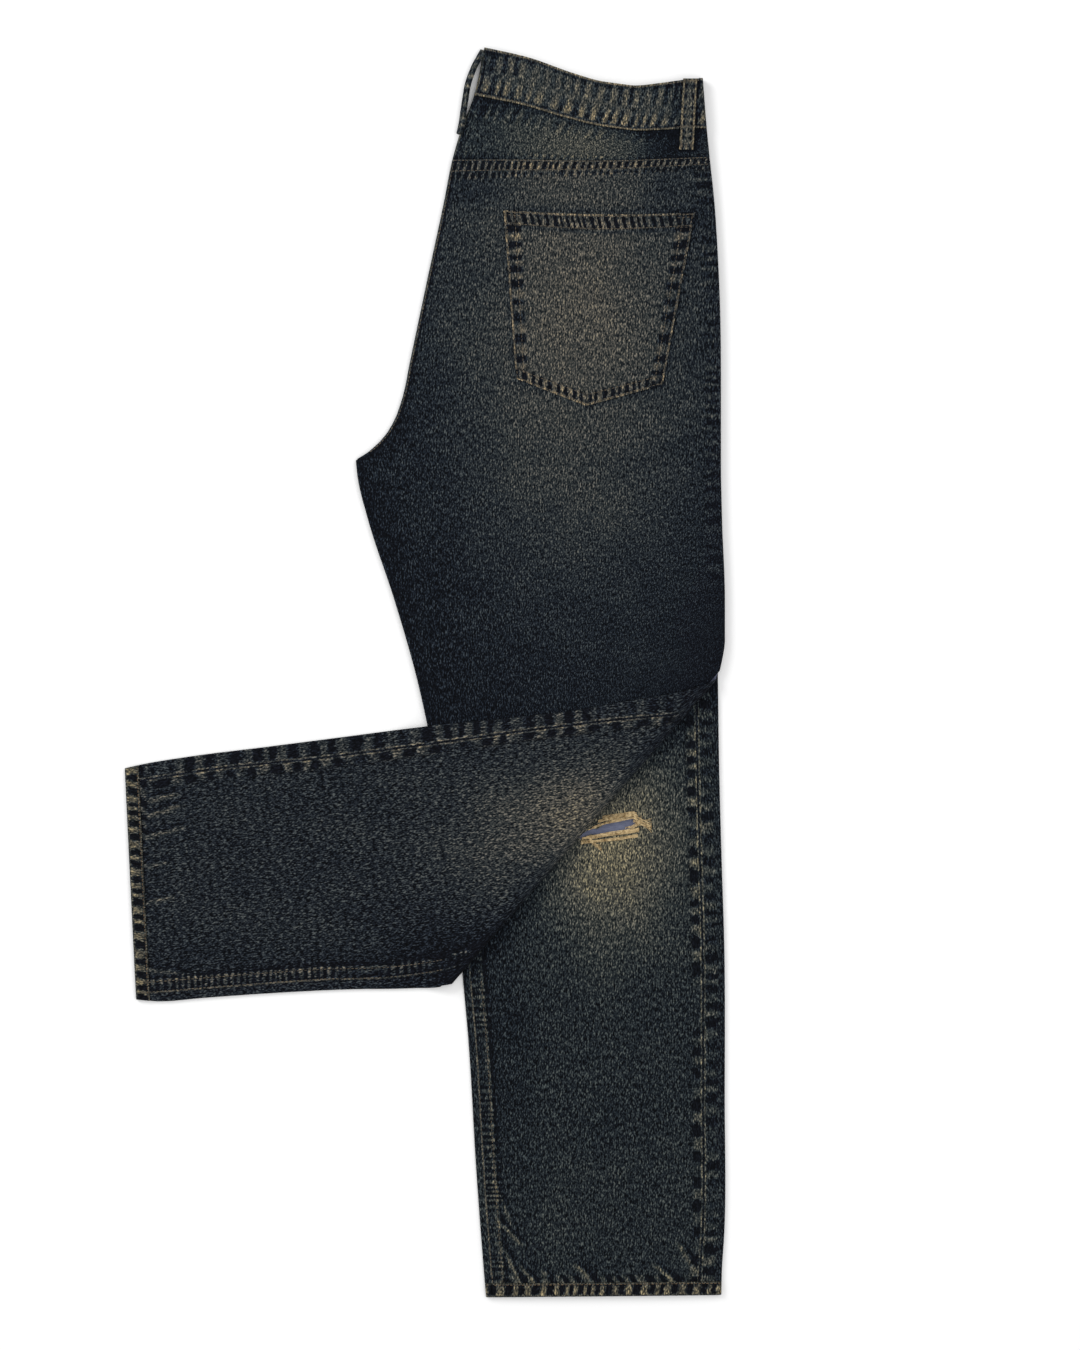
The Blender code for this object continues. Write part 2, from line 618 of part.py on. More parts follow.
def beside_fold(depth, count=14):
    """Points at one distance in from the fold, clear of both edges of the thigh."""
    fold_length = float(np.linalg.norm(FOLD_INSEAM - FOLD_SIDE))
    along = np.linspace(ROLL_FROM, fold_length - 6.0, 300)
    xy = FOLD_SIDE + np.outer(along, FOLD_ALONG) + depth * FOLD_IN
    clear = (from_left(xy[:, 0], xy[:, 1]) > 4.0) & (upper_side_x(xy[:, 1]) - xy[:, 0] > 4.0)
    share = np.linspace(along[clear].min(), along[clear].max(), count)
    return FOLD_SIDE + np.outer(share, FOLD_ALONG) + depth * FOLD_IN


def build_turned_front():
    """Right front panel: from under the thigh, round the slanting fold and over to the hem."""
    low = LOWER_TUBE + LAYER_GAP
    line = beside_fold(4.0)
    high = turned_top(line[:, 0], line[:, 1])
    radius = (high - low) / 2.0
    rows = []
    for depth in (TURNED_TAIL, 24.0, 12.0):
        xy = beside_fold(depth)
        rows.append(np.column_stack([xy, np.full(len(xy), low)]))
    for angle in np.linspace(math.pi, 0.0, 9):
        inset = radius - radius * math.sin(angle)
        xy = line + (inset - 4.0)[:, None] * FOLD_IN
        rows.append(np.column_stack([xy, low + radius + radius * math.cos(angle)]))
    for x in TURNED_MARKS[1:]:
        xy = turned_front_row(x)
        rows.append(np.column_stack([xy, turned_top(xy[:, 0], xy[:, 1])]))
    wall("right_front_panel", rows, CLOTH, "denim", +1)
    hem = [turned_front_row(hem_line(s)) for s in (0.0, 0.5, 1.0)]
    slab("right_front_hem", hem, lambda x, y: turned_hem_top(x, y) - BAND, turned_hem_top, "denim_worn")


def build_pocket():
    """Patch pocket: five-sided, with a thicker turned mouth, laid on the back panel."""
    corner = {k: np.array(v, float) for k, v in POCKET.items()}
    columns = np.linspace(0.0, 1.0, 11)
    sag = POCKET_DIP * 4 * columns * (1 - columns)
    mouth = corner["top_left"] + np.outer(columns, corner["top_right"] - corner["top_left"])
    mouth[:, 1] -= sag
    tip_share = 0.5
    foot = np.array([
        corner["left"] + (corner["tip"] - corner["left"]) * (c / tip_share) if c <= tip_share
        else corner["tip"] + (corner["right"] - corner["tip"]) * ((c - tip_share) / (1 - tip_share))
        for c in columns
    ])
    depth = float(np.linalg.norm(corner["left"] - corner["top_left"]))
    shares = np.concatenate([[0.0, (POCKET_HEM - 0.6) / depth, (POCKET_HEM + 0.6) / depth], np.linspace(0.2, 1.0, 8)])
    rows = [mouth + (foot - mouth) * s for s in shares]
    mouth_line = corner["top_left"][1] - POCKET_HEM

    def low(x, y):
        return body_top(x, y) + LAYER_GAP

    def high(x, y):
        return low(x, y) + CLOTH + RIDGE * smooth_step((y - mouth_line + 3.6) / 1.2)

    slab("right_back_pocket", rows, low, high, "denim_worn")


def build_side_loop():
    """Belt loop near the side seam: over the band, then down on to the yoke."""
    line = np.array(SIDE_LOOP, float)
    along = np.linspace(0.0, 1.0, 12)
    middle = through([(0.0, line[0][0]), (0.5, line[1][0]), (1.0, line[2][0])])
    height = through([(0.0, line[0][1]), (0.5, line[1][1]), (1.0, line[2][1])])
    rows = []
    for s in along:
        offsets = np.linspace(-LOOP_WIDTH / 2, LOOP_WIDTH / 2, 4)
        rows.append(np.column_stack([middle(s) + offsets, np.full(4, height(s))]))

    def low(x, y):
        on_band = smooth_step((y - 466.0) / 14.0)
        return on_band * band_top(x, y) + (1 - on_band) * body_top(x, y) + LAYER_GAP + 0.3 * on_band

    slab("side_belt_loop", rows, low, lambda x, y: low(x, y) + LOOP_PLY, "denim_worn")


def build_centre_loop():
    """Belt loop at the centre back, seen on edge: it stands off the folded waistband's end."""
    line = np.array(CENTRE_LOOP, float)
    share = np.linspace(0.0, 1.0, 11)
    keys = np.linspace(0.0, 1.0, len(line))
    outer = np.column_stack([through(list(zip(keys, line[:, 0])))(share),
                             through(list(zip(keys, line[:, 1])))(share)])
    way = np.gradient(outer, axis=0)
    way /= np.linalg.norm(way, axis=1)[:, None]
    out = np.column_stack([way[:, 1], -way[:, 0]])
    out *= np.sign(-out[:, :1])
    half = LOOP_WIDTH / 2 - 0.8
    rows = []
    for angle in np.linspace(-1.0, 1.0, 7):
        bulge = 1.4 * (1.0 - angle * angle) - 1.4
        z = 0.2 + half + half * angle
        rows.append(np.column_stack([outer + out * bulge, np.full(len(outer), z)]))
    made = wall("centre_belt_loop", rows, CENTRE_LOOP_PLY, "denim_worn", +1)
    orient_loop(made)


def orient_loop(made):
    """The loop's outer side faces away from the garment, towards -X."""
    mesh = made.data
    mesh.update()
    if sum(p.normal.x for p in mesh.polygons) > 0:
        mesh.flip_normals()


def main():
    clear_scene()
    build_lower_back()
    build_lower_yoke_and_band()
    build_hidden_layers()
    build_hidden_bands()
    build_lower_front()
    build_lower_hem()
    build_upper_back()
    build_upper_yoke()
    build_upper_band()
    build_turned_back()
    build_turned_front()
    build_pocket()
    build_side_loop()
    build_centre_loop()


main()
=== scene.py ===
"""Ripped jeans, folded and laid flat: how they look. Sizes are in millimetres until a mesh is made."""

import math

import bpy
import numpy as np
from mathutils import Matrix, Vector
from mathutils.bvhtree import BVHTree


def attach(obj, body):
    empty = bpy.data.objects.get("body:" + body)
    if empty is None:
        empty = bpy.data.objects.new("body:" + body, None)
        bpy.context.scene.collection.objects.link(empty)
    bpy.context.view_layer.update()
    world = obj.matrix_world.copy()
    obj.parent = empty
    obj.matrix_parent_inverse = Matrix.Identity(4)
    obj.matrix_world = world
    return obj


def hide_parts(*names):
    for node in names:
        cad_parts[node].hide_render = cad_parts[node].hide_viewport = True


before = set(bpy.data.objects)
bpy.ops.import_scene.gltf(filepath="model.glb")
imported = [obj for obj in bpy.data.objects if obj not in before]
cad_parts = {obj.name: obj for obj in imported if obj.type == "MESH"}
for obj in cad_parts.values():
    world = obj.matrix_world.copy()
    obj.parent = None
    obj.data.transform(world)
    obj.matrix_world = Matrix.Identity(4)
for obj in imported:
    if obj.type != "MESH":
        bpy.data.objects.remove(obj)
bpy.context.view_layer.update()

MM = 0.001

# The folded garment's sizes, the same as the solids have
CLOTH = 1.0
BAND = 1.8
SEAM_GAP = 0.3
LAYER_GAP = 0.4
TURNED_GAP = 0.55
RIDGE = 0.6
WAIST_Y, BAND_Y, YOKE_Y, CROTCH_Y = 549.0, 507.0, 451.0, 187.0
HEM_LEFT_Y, HEM_RIGHT_Y, HEM_DEPTH = -549.0, -547.0, 12.0
SEAT_EDGE = [(52, WAIST_Y), (43, BAND_Y), (31, 475), (24, YOKE_Y), (17, 416), (2, 346), (-13, 275),
             (-20.5, 240), (-27, 222), (-38, 205), (-50, 194), (-61, CROTCH_Y)]
INSEAM_EDGE = [(-61, CROTCH_Y), (-59, 170), (-50, 134), (-27, 64), (-7, -6), (2, -46), (19, -138),
               (30, -207), (33, -265), (38, -323), (45, -438), (52.5, -537), (53.5, HEM_LEFT_Y)]
UPPER_SIDE = [(244, 522), (247.5, 478), (250, 453), (254, 416), (257, 372), (259, 328), (260, 258),
              (260, CROTCH_Y), (261, 134), (263.5, 64), (263.5, 29), (261, 11), (257, -6)]
LOWER_SIDE = [(244, 522), (247, 478), (249, 453), (253, 416), (256, 372), (257.5, 328), (258, 258),
              (257.5, CROTCH_Y), (256.5, 99), (256.5, 46), (257.5, -6), (258.5, -77), (261, -172),
              (263, -235), (263.5, -376), (263, -495), (261, -526), (260.5, HEM_RIGHT_Y)]
WAIST_DIP = [(WAIST_Y, 15.5), (BAND_Y, 11.5), (YOKE_Y, 2.5), (380, 0.0), (-600, 0.0)]
DIP_SHAPE = [(0, 0), (0.22, 0.27), (0.4, 0.75), (0.55, 1), (0.66, 1), (0.8, 0.65), (0.9, 0.3), (1, 0)]
UPPER_ROWS = [(WAIST_Y, 522), (BAND_Y, 478), (YOKE_Y, 453), (240, 240), (CROTCH_Y, 187), (-46, 64),
              (-200, 28), (-252, 6), (-258, 1.5)]
FOLD_SIDE = np.array([257.0, -5.0])
FOLD_INSEAM = np.array([24.0, -273.0])
TURNED_TOP = [(257, -5), (238, -12.5), (220, -17.5), (171, -26), (139, -32), (99, -37), (1.5, -47),
              (-68, -56), (-138, -65), (-209, -74), (-251, -81), (-264, -84)]
TURNED_BOTTOM = [(24, -273), (13, -276), (-12, -277.5), (-68, -278.5), (-138, -282),
                 (-195, -286), (-233, -289), (-254, -287.5)]
TURNED_ROWS = [(257, 24.5), (251, 20), (150, -28), (0, -92), (-138, -168), (-251, -241), (-264, -254)]
TURNED_OUTSEAM = [(228, -36), (180, -40), (79, -52), (-22, -66), (-93, -75), (-192, -85.5), (-264, -97)]
TURNED_INSEAM = [(36, -255), (15, -262), (-22, -268), (-93, -271), (-176, -277), (-264, -284)]
FELL_TOP = [(36, -243), (-22, -256), (-93, -262), (-176, -267), (-264, -272)]
OUTSEAM_IN, INSEAM_IN, FELL_WIDTH = 19.2, 5.3, 12.0
LOWER_ROWS = [(549, 522), (507, 478), (451, 453), (240, 240), (187, 187), (-46, 116), (-207, 57)]
BODY_EDGE = [(BAND_Y, 8.6), (YOKE_Y, 7.6), (380, 7.0), (-600, 7.0)]
BODY_CROWN = [(BAND_Y, 9.4), (YOKE_Y, 9.3), (300, 9.4), (100, 9.2), (-600, 9.2)]
CROWN_AT_FOLD, FOLD_SLACK, CROWN_RUN = 7.9, 60.0, 28.0
BAND_EDGE_HEIGHT, BAND_CROWN_HEIGHT, BAND_SPLIT = 9.7, 10.6, 4.85
LOWER_TUBE, LEG_LOFT, TURNED_TUBE, TURNED_LOFT, HEM_TUBE = 3.4, 1.3, 3.0, 1.1, 4.4
DROP, OVERHANG = 32.0, 5.0
POCKET = {"top_left": (69, 406), "top_right": (237, 404), "left": (80, 258), "tip": (141.5, 234),
          "right": (208.5, 252.5)}
POCKET_DIP, POCKET_HEM = 3.0, 12.0
LOOP_WIDTH, LOOP_PLY = 12.5, 1.8
SIDE_LOOP = [(232.8, 521.0), (230.8, 485.0), (229.4, 459.0)]
CENTRE_LOOP = [(48.6, 547.8), (41.0, 534.0), (35.3, 519.0), (33.0, 507.0), (31.2, 495.0),
               (29.4, 483.0), (27.4, 474.0)]
CENTRE_LOOP_PLY = 2.6
POCKET_WIDTH = 148.0
TURNED_END = -264.0  # the turned leg's hem
HEM_SHARES = np.concatenate([[0, 0.03, 0.08], np.linspace(0.16, 0.84, 7), [0.9, 0.95, 0.98, 1.0]])
LEG_WAY = (0.9905, 0.1375)  # the turned leg's warp, from its hem to the knee
ROLL_BEGINS, ROLL_ENDS = 15.4, 362.6  # where the first flat row's ends lie along the fold
STRIP_COLUMNS = (14, 8)  # of the back panel's strips beside the turned leg's outseam and inseam
RIP = [(123, -147.5), (129, -141.5), (137, -142.5), (146, -136.5), (151, -137.5), (158, -132.5),
       (166, -130), (171, -130.5), (178, -127), (186, -127.5), (184, -131), (186.5, -134),
       (180, -137.5), (173, -138.5), (168, -141.5), (160, -140.5), (152, -143.5), (146, -142),
       (137, -146), (131, -144.5)]


# Numbers into curves
def smooth_step(t):
    t = np.clip(t, 0.0, 1.0)
    return t * t * (3.0 - 2.0 * t)


def window(value, low, high, soft):
    """1 between low and high, and 0 outside them, over a soft edge."""
    return smooth_step((value - low) / soft + 0.5) * smooth_step((high - value) / soft + 0.5)


def bell(value, centre, width):
    return np.exp(-(((value - centre) / width) ** 2))


def through(points):
    """A smooth function through (key, value) points, which never overshoots them."""
    table = np.array(sorted(points), float)
    key, value = table[:, 0], table[:, 1]
    step = np.diff(key)
    slope = np.diff(value) / step
    tangent = np.concatenate([slope[:1], slope[-1:]])
    if len(key) > 2:
        middle = (slope[:-1] * step[1:] + slope[1:] * step[:-1]) / (step[:-1] + step[1:])
        middle = np.where(slope[:-1] * slope[1:] > 0, middle, 0.0)
        tangent = np.concatenate([slope[:1], middle, slope[-1:]])

    def at(k):
        k = np.clip(np.asarray(k, float), key[0], key[-1])
        i = np.clip(np.searchsorted(key, k) - 1, 0, len(key) - 2)
        t = (k - key[i]) / step[i]
        rise = value[i + 1] - value[i]
        start, end = tangent[i] * step[i], tangent[i + 1] * step[i]
        return value[i] + t * start + t * t * (3 * rise - 2 * start - end) + t**3 * (start + end - 2 * rise)

    return at


def by_height(outline):
    return through([(y, x) for x, y in outline])


seat_x, inseam_x = by_height(SEAT_EDGE), by_height(INSEAM_EDGE)
upper_side_x, lower_side_x = by_height(UPPER_SIDE), by_height(LOWER_SIDE)
dip_depth, dip_shape, upper_partner = through(WAIST_DIP), through(DIP_SHAPE), through(UPPER_ROWS)
body_edge, body_crown = through(BODY_EDGE), through(BODY_CROWN)
turned_top_y, turned_bottom_y = through(TURNED_TOP), through(TURNED_BOTTOM)
turned_partner = through(TURNED_ROWS)
turned_outseam_y, turned_inseam_y = through(TURNED_OUTSEAM), through(TURNED_INSEAM)
fell_top_y = through(FELL_TOP)
FOLD_ALONG = (FOLD_INSEAM - FOLD_SIDE) / np.linalg.norm(FOLD_INSEAM - FOLD_SIDE)
FOLD_IN = np.array([FOLD_ALONG[1], -FOLD_ALONG[0]])


# Heights of the cloth's outer surfaces
def left_x(y):
    return np.where(y >= CROTCH_Y, seat_x(y), inseam_x(y))


def from_left(x, y):
    lean = np.where(y >= CROTCH_Y, seat_x(y + 2.0) - seat_x(y - 2.0),
                    inseam_x(y + 2.0) - inseam_x(y - 2.0)) / 4
    return (x - left_x(y)) / np.sqrt(1 + lean * lean)


def from_fold(x, y):
    return (x - FOLD_SIDE[0]) * FOLD_IN[0] + (y - FOLD_SIDE[1]) * FOLD_IN[1]


def climb(distance):
    return 1.0 - np.exp(-np.maximum(distance, 0.0) / CROWN_RUN)


def body_top(x, y):
    crown = CROWN_AT_FOLD + (body_crown(y) - CROWN_AT_FOLD) * smooth_step(from_fold(x, y) / FOLD_SLACK)
    edge = body_edge(y)
    return edge + (crown - edge) * climb(from_left(x, y)) * climb(upper_side_x(y) - x)


def leg_top(x, y):
    loft = LEG_LOFT * smooth_step((-from_fold(x, y) - 8.0) / 50.0)
    return LOWER_TUBE + loft * climb(from_left(x, y)) * climb(lower_side_x(y) - x)


def band_top(x, y):
    span = climb(from_left(x, y)) * climb(upper_side_x(y) - x)
    return BAND_EDGE_HEIGHT + (BAND_CROWN_HEIGHT - BAND_EDGE_HEIGHT) * span


def under_turned(x, y):
    over_thigh = smooth_step((from_left(x, y) + OVERHANG + DROP) / DROP)
    return over_thigh * (body_top(x, y) + TURNED_GAP)


def turned_top(x, y):
    from_bottom = y - turned_bottom_y(np.clip(x, -254, 24))
    rise = climb(turned_top_y(x) - y) * climb(np.where(x > 13, CROWN_RUN * 4, from_bottom))
    return under_turned(x, y) + TURNED_TUBE + TURNED_LOFT * rise


# Creases that the legs and seat keep, as (from, to, depth, half width, how much paler the ridge is)
THIGH_CREASES = [
    ((-52, 189), (-20, 176), 0.5, 4.5, 5), ((-48, 181), (-14, 158), 0.4, 5.0, 4),
    ((-30, 196), (22, 236), 0.5, 8.0, 3), ((32, 452), (50, 436), 0.5, 4.0, 5),
    ((60, 196), (210, 168), 0.35, 16.0, 2), ((20, 60), (120, 96), 0.35, 14.0, 2),
    ((150, 40), (255, 12), 0.4, 12.0, 2), ((215, 232), (252, 300), 0.35, 9.0, 2),
]
LEG_CREASES = [
    ((136, -172), (160, -196), 0.6, 5.0, 5), ((64, -448), (80, -488), 0.35, 2.2, 34),
    ((66, -480), (87, -501), 0.4, 2.0, 52), ((70, -502), (86, -535), 0.4, 2.0, 52),
    ((84, -518), (99, -536), 0.4, 2.0, 50), ((133, -518), (153, -535), 0.4, 2.0, 52),
    ((225, -500), (239, -523), 0.4, 2.0, 50), ((203, -518), (222, -534), 0.4, 2.0, 50),
    ((104, -524), (118, -535), 0.3, 2.0, 40), ((168, -250), (230, -276), 0.4, 12.0, 2),
    ((60, -320), (170, -352), 0.35, 15.0, 2), ((120, -420), (236, -398), 0.35, 15.0, 2),
]
TURNED_CREASES = [
    ((-244, -110), (-218, -104), 0.4, 2.0, 44), ((-246, -124), (-214, -113), 0.45, 2.0, 48),
    ((-246, -142), (-212, -133), 0.4, 2.0, 42), ((-246, -200), (-222, -194), 0.35, 2.0, 36),
    ((-244, -258), (-206, -263), 0.4, 2.2, 34), ((-246, -168), (-226, -164), 0.3, 1.9, 32),
    ((-60, -120), (60, -150), 0.4, 15.0, 2), ((-170, -190), (-40, -214), 0.4, 15.0, 2),
    ((70, -180), (100, -226), 0.4, 11.0, 2),
]


def along_crease(x, y, start, end, width):
    """Signed distance from a crease's line over its width, and how far its ends reach."""
    start, end = np.array(start, float), np.array(end, float)
    length = np.linalg.norm(end - start)
    way = (end - start) / length
    s = (x - start[0]) * way[0] + (y - start[1]) * way[1]
    d = (x - start[0]) * way[1] - (y - start[1]) * way[0]
    return d / width, window(s, 0.0, length, length * 0.35)


def creased(x, y, creases):
    """Height and paleness that the creases give: a soft trough with a worn ridge beside it."""
    height, paler = np.zeros_like(x), np.zeros_like(x)
    for start, end, depth, width, pale in creases:
        d, reach = along_crease(x, y, start, end, width)
        height += depth * reach * (0.55 * np.exp(-((d - 1.4) ** 2)) - np.exp(-(d**2)))
        paler += pale * reach * (np.exp(-((d - 1.2) ** 2)) - 0.7 * np.exp(-((d + 0.1) ** 2)))
    return height, paler


def sway(x, y, seed):
    """Slow waves that cloth on a table keeps, up to about a third of a millimetre."""
    rng = np.random.default_rng(seed)
    total = np.zeros_like(x)
    for _ in range(7):
        turn, wave, shift = rng.uniform(0, math.pi), rng.uniform(45, 110), rng.uniform(0, 2 * math.pi)
        total += np.sin(2 * math.pi * (x * math.cos(turn) + y * math.sin(turn)) / wave + shift)
    return total * 0.075


def pucker_phase(pitch, seed, length=1300.0):
    """A seam's phase in radians by the distance along it: one turn a pucker, no two the same."""
    rng = np.random.default_rng(seed)
    count = int(length / pitch) + 8
    at = np.concatenate([[0.0], np.cumsum(pitch * rng.uniform(0.62, 1.42, count))]) - length * 0.5
    return lambda s: np.interp(s, at, 2 * math.pi * np.arange(count + 1))


def uneven(seed, run, low=0.35):
    """How strong a seam's puckers are along it, from low to 1."""
    rng = np.random.default_rng(seed)
    at = np.arange(-700.0, 700.0, run)
    strength = rng.uniform(low, 1.0, len(at))
    return lambda s: np.interp(s, at, strength)


# How pale the denim is, as a brightness from 0 to 255: its fading, darker where it turns under, and painted
# shade along the fold and where other cloth covers it
thigh_lift = through([(549, 0.72), (451, 0.76), (416, 0.84), (346, 0.95), (302, 1.0), (240, 0.84),
                      (205, 0.78), (170, 0.68), (134, 0.6), (99, 0.43), (64, 0.32), (29, 0.24), (-6, 0.15),
                      (-280, 0.1)])


def thigh_tone(x, y):
    tone = 19.0 + 44.0 * thigh_lift(y) * bell(x, 132.0, 130.0)
    tone -= 8.0 * smooth_step((y - 405.0) / 15.0) * (smooth_step((86.0 - x) / 30.0) + bell(x, 205.0, 16.0))
    inset = from_left(x, y)
    tone -= 7.0 * np.exp(-np.maximum(inset, 0) / 22.0) * smooth_step((330 - y) / 120)
    tone -= 5.0 * np.exp(-np.maximum(upper_side_x(y) - x, 0) / 16.0)
    # Painted shade along the fold
    tone -= 6.0 * bell(from_fold(x, y), 0.0, 26.0)
    return tone


def yoke_tone(x, y):
    tone = 37.0 + 26.0 * bell(x, 134.0, 62.0)
    # Painted shade on the yoke just below the waistband's edge, at the right
    return tone - 22.0 * bell(x, 212.0, 26.0) * smooth_step((484.0 - y) / 14.0)


def leg_tone(x, y):
    tone = 34.0 + 55.0 * bell(x, 163.0, 59.0) * bell(y, -150.0, 84.0)
    tone -= 8.0 * bell(x, 66.0, 26.0) * bell(y, -330.0, 110.0)
    # Painted shadow of the turned leg's fold on the lower leg
    tone -= 14.0 * bell(from_fold(x, y), -1.0, 10.0)
    tone += 3.0 * bell(y, -470.0, 60.0)
    return tone


def turned_tone(x, y):
    tone = 33.5 + 39.0 * bell(x, 150.0, 78.0) * bell(y, -130.0, 48.0)
    # Painted shade along the fold, where the cloth rolls under
    tone -= 12.0 * bell(from_fold(x, y), 0.0, 10.0)
    tone += 8.0 * bell(x, 60.0, 70.0) * bell(y, -150.0, 60.0)
    # Painted shade near the fold's inseam end, where the cloth curves down
    tone -= 15.0 * bell(x, 22.0, 66.0) * bell(y, -252.0, 40.0)
    tone -= 4.0 * bell(y, -262.0, 26.0)
    return tone


# Grids of cloth. Each keeps its points, its flat cut and the wear at each point.
class Patch:
    def __init__(self, points, cut, tone, up):
        self.points = points
        self.cut = cut
        self.up = up
        self.tone = np.broadcast_to(tone, points.shape[:2]).astype(float)
        self.phase = np.zeros(points.shape[:2])
        self.light = np.zeros(points.shape[:2])
        self.dark = np.zeros(points.shape[:2])

    def pucker(self, phase, strength, light, dark):
        """Puckers with this phase, where strength is above what the patch has there."""
        here = strength > np.maximum(self.light, self.dark)
        self.phase = np.where(here, phase, self.phase)
        self.light = np.where(here, strength * light, self.light)
        self.dark = np.where(here, strength * dark, self.dark)

    def raise_puckers(self, height):
        lift = np.sin(self.phase) * np.maximum(self.light, self.dark) * height
        self.points[:, :, 2] += lift


def cut_from_rows(points, along):
    """The flat cut: true lengths across each row, and the given distance along the cloth."""
    run = np.linalg.norm(np.diff(points, axis=1), axis=2)
    run = np.concatenate([np.zeros((len(points), 1)), np.cumsum(run, axis=1)], axis=1)
    middle = points.shape[1] // 2
    across = run - run[:, middle: middle + 1] + points[:, middle: middle + 1, 0]
    return np.stack([across, np.broadcast_to(along, across.shape)], axis=-1)


def grid_faces(rows, columns, offset):
    a = offset + (np.arange(rows - 1)[:, None] * columns + np.arange(columns - 1)[None, :]).ravel()
    return np.stack([a, a + 1, a + columns + 1, a + columns], axis=1)


def facing(patch):
    """True where the grid's rows and columns already give a normal on the side that it faces."""
    rows, columns = patch.points.shape[:2]
    j, i = rows // 2, columns // 2
    here = patch.points[j, i]
    across = patch.points[j, min(i + 1, columns - 1)] - here
    along = patch.points[min(j + 1, rows - 1), i] - here
    return np.dot(np.cross(across, along), patch.up) > 0


def new_object(name, data):
    made = bpy.data.objects.new(name, data)
    bpy.context.scene.collection.objects.link(made)
    return made


def shell(name, patches, thickness, outer, inner, straight=False, without=None):
    """Closed cloth: its outer face through the patches, and its inner one a thickness inside it."""
    faces, offset = [], 0
    for patch in patches:
        rows, columns = patch.points.shape[:2]
        quads = grid_faces(rows, columns, offset)
        faces.append(quads if facing(patch) else quads[:, ::-1])
        offset += rows * columns
    faces = np.concatenate(faces)
    points = np.concatenate([p.points.reshape(-1, 3) for p in patches])
    _, first, same = np.unique(np.round(points, 3), axis=0, return_index=True, return_inverse=True)
    same = same.ravel()
    faces = same[faces]
    points = points[first]
    cut = np.concatenate([p.cut.reshape(-1, 2) for p in patches])[first]
    wear = {k: np.concatenate([getattr(p, k).ravel() for p in patches])[first]
            for k in ("tone", "phase", "light", "dark")}
    if without is not None:
        middles = points[faces].mean(axis=1)
        faces = faces[~without(middles[:, 0], middles[:, 1])]
    deep = thickness if np.isscalar(thickness) else np.concatenate([t.ravel() for t in thickness])[first]
    normal = np.cross(points[faces[:, 2]] - points[faces[:, 0]], points[faces[:, 3]] - points[faces[:, 1]])
    total = np.zeros_like(points)
    for k in range(4):
        np.add.at(total, faces[:, k], normal)
    total /= np.maximum(np.linalg.norm(total, axis=1), 1e-9)[:, None]
    if straight:
        total = np.array([0.0, 0.0, 1.0]) * np.sign(patches[0].up[2])
    inside = points - total * (deep if np.isscalar(deep) else deep[:, None])
    count = len(points)
    edges = np.concatenate([faces[:, [k, (k + 1) % 4]] for k in range(4)])
    keys = np.sort(edges, axis=1)
    _, where, times = np.unique(keys, axis=0, return_index=True, return_counts=True)
    rim = edges[where[times == 1]]
    rim_faces = np.stack([rim[:, 1], rim[:, 0], rim[:, 0] + count, rim[:, 1] + count], axis=1)
    every = np.concatenate([faces, faces[:, ::-1] + count, rim_faces])
    used = np.unique(every)
    renumber = np.zeros(2 * count, int)
    renumber[used] = np.arange(len(used))
    mesh = bpy.data.meshes.new(name)
    both = np.concatenate([points, inside]) * MM
    mesh.from_pydata(both[used].tolist(), [], renumber[every].tolist())
    mesh.materials.append(outer)
    mesh.materials.append(inner)
    kind = np.zeros(len(every), int)
    kind[len(faces): 2 * len(faces)] = 1
    mesh.polygons.foreach_set("material_index", kind)
    store(mesh, np.concatenate([cut, cut])[used], {k: np.concatenate([w, w])[used] for k, w in wear.items()})
    mesh.shade_smooth()
    mesh.set_sharp_from_angle(angle=math.radians(55))
    return new_object(name, mesh)


# The brightness at the dark end of the denim's colours, and how much more the pale end has
TONE_LOW, TONE_SPAN = 20.5, 100.0


def store(mesh, cut, wear):
    """The flat cut as a UV map in metres, and the wear as attributes for the denim to read."""
    corner = np.zeros(len(mesh.loops), int)
    mesh.loops.foreach_get("vertex_index", corner)
    mesh.uv_layers.new(name="cut").data.foreach_set("uv", (cut[corner] * MM).ravel())
    wear = dict(wear, tone=(wear["tone"] - TONE_LOW) / TONE_SPAN)
    for name, values in wear.items():
        mesh.attributes.new(name, "FLOAT", "POINT").data.foreach_set("value", values)


# Materials
def linear(hex_colour):
    parts = [int(hex_colour[i: i + 2], 16) / 255.0 for i in (1, 3, 5)]
    return (*(c / 12.92 if c <= 0.04045 else ((c + 0.055) / 1.055) ** 2.4 for c in parts), 1.0)


def add(tree, kind, settings=None, inputs=None):
    """One node: its settings, then its inputs, each a value or another node's output."""
    node = tree.nodes.new(kind)
    for name, value in (settings or {}).items():
        setattr(node, name, value)
    for name, value in (inputs or {}).items():
        if isinstance(value, bpy.types.NodeSocket):
            tree.links.new(value, node.inputs[name])
        else:
            node.inputs[name].default_value = value
    return node


def new_material(name, roughness, sheen=0.0, specular=0.25):
    made = bpy.data.materials.new(name)
    made.use_nodes = True
    tree = made.node_tree
    tree.nodes.clear()
    shader = add(tree, "ShaderNodeBsdfPrincipled")
    shader.inputs["Roughness"].default_value = roughness
    shader.inputs["Specular IOR Level"].default_value = specular
    shader.inputs["Sheen Weight"].default_value = sheen
    shader.inputs["Sheen Roughness"].default_value = 0.5
    out = add(tree, "ShaderNodeOutputMaterial")
    tree.links.new(shader.outputs["BSDF"], out.inputs["Surface"])
    return made, tree, shader


def read_wear(tree, name):
    return add(tree, "ShaderNodeAttribute", {"attribute_name": name}).outputs["Fac"]


def threads(tree, cut, across, along, detail, turn=0.0):
    """Noise drawn out along the warp: its size across and along, in millimetres."""
    placed = add(tree, "ShaderNodeMapping", inputs={
        "Vector": cut, "Rotation": (0.0, 0.0, turn), "Scale": (1000.0 / across, 1000.0 / along, 1.0)})
    return add(tree, "ShaderNodeTexNoise", {"noise_dimensions": "2D"}, {
        "Vector": placed.outputs["Vector"], "Scale": 1.0, "Detail": detail, "Roughness": 0.6}).outputs["Fac"]


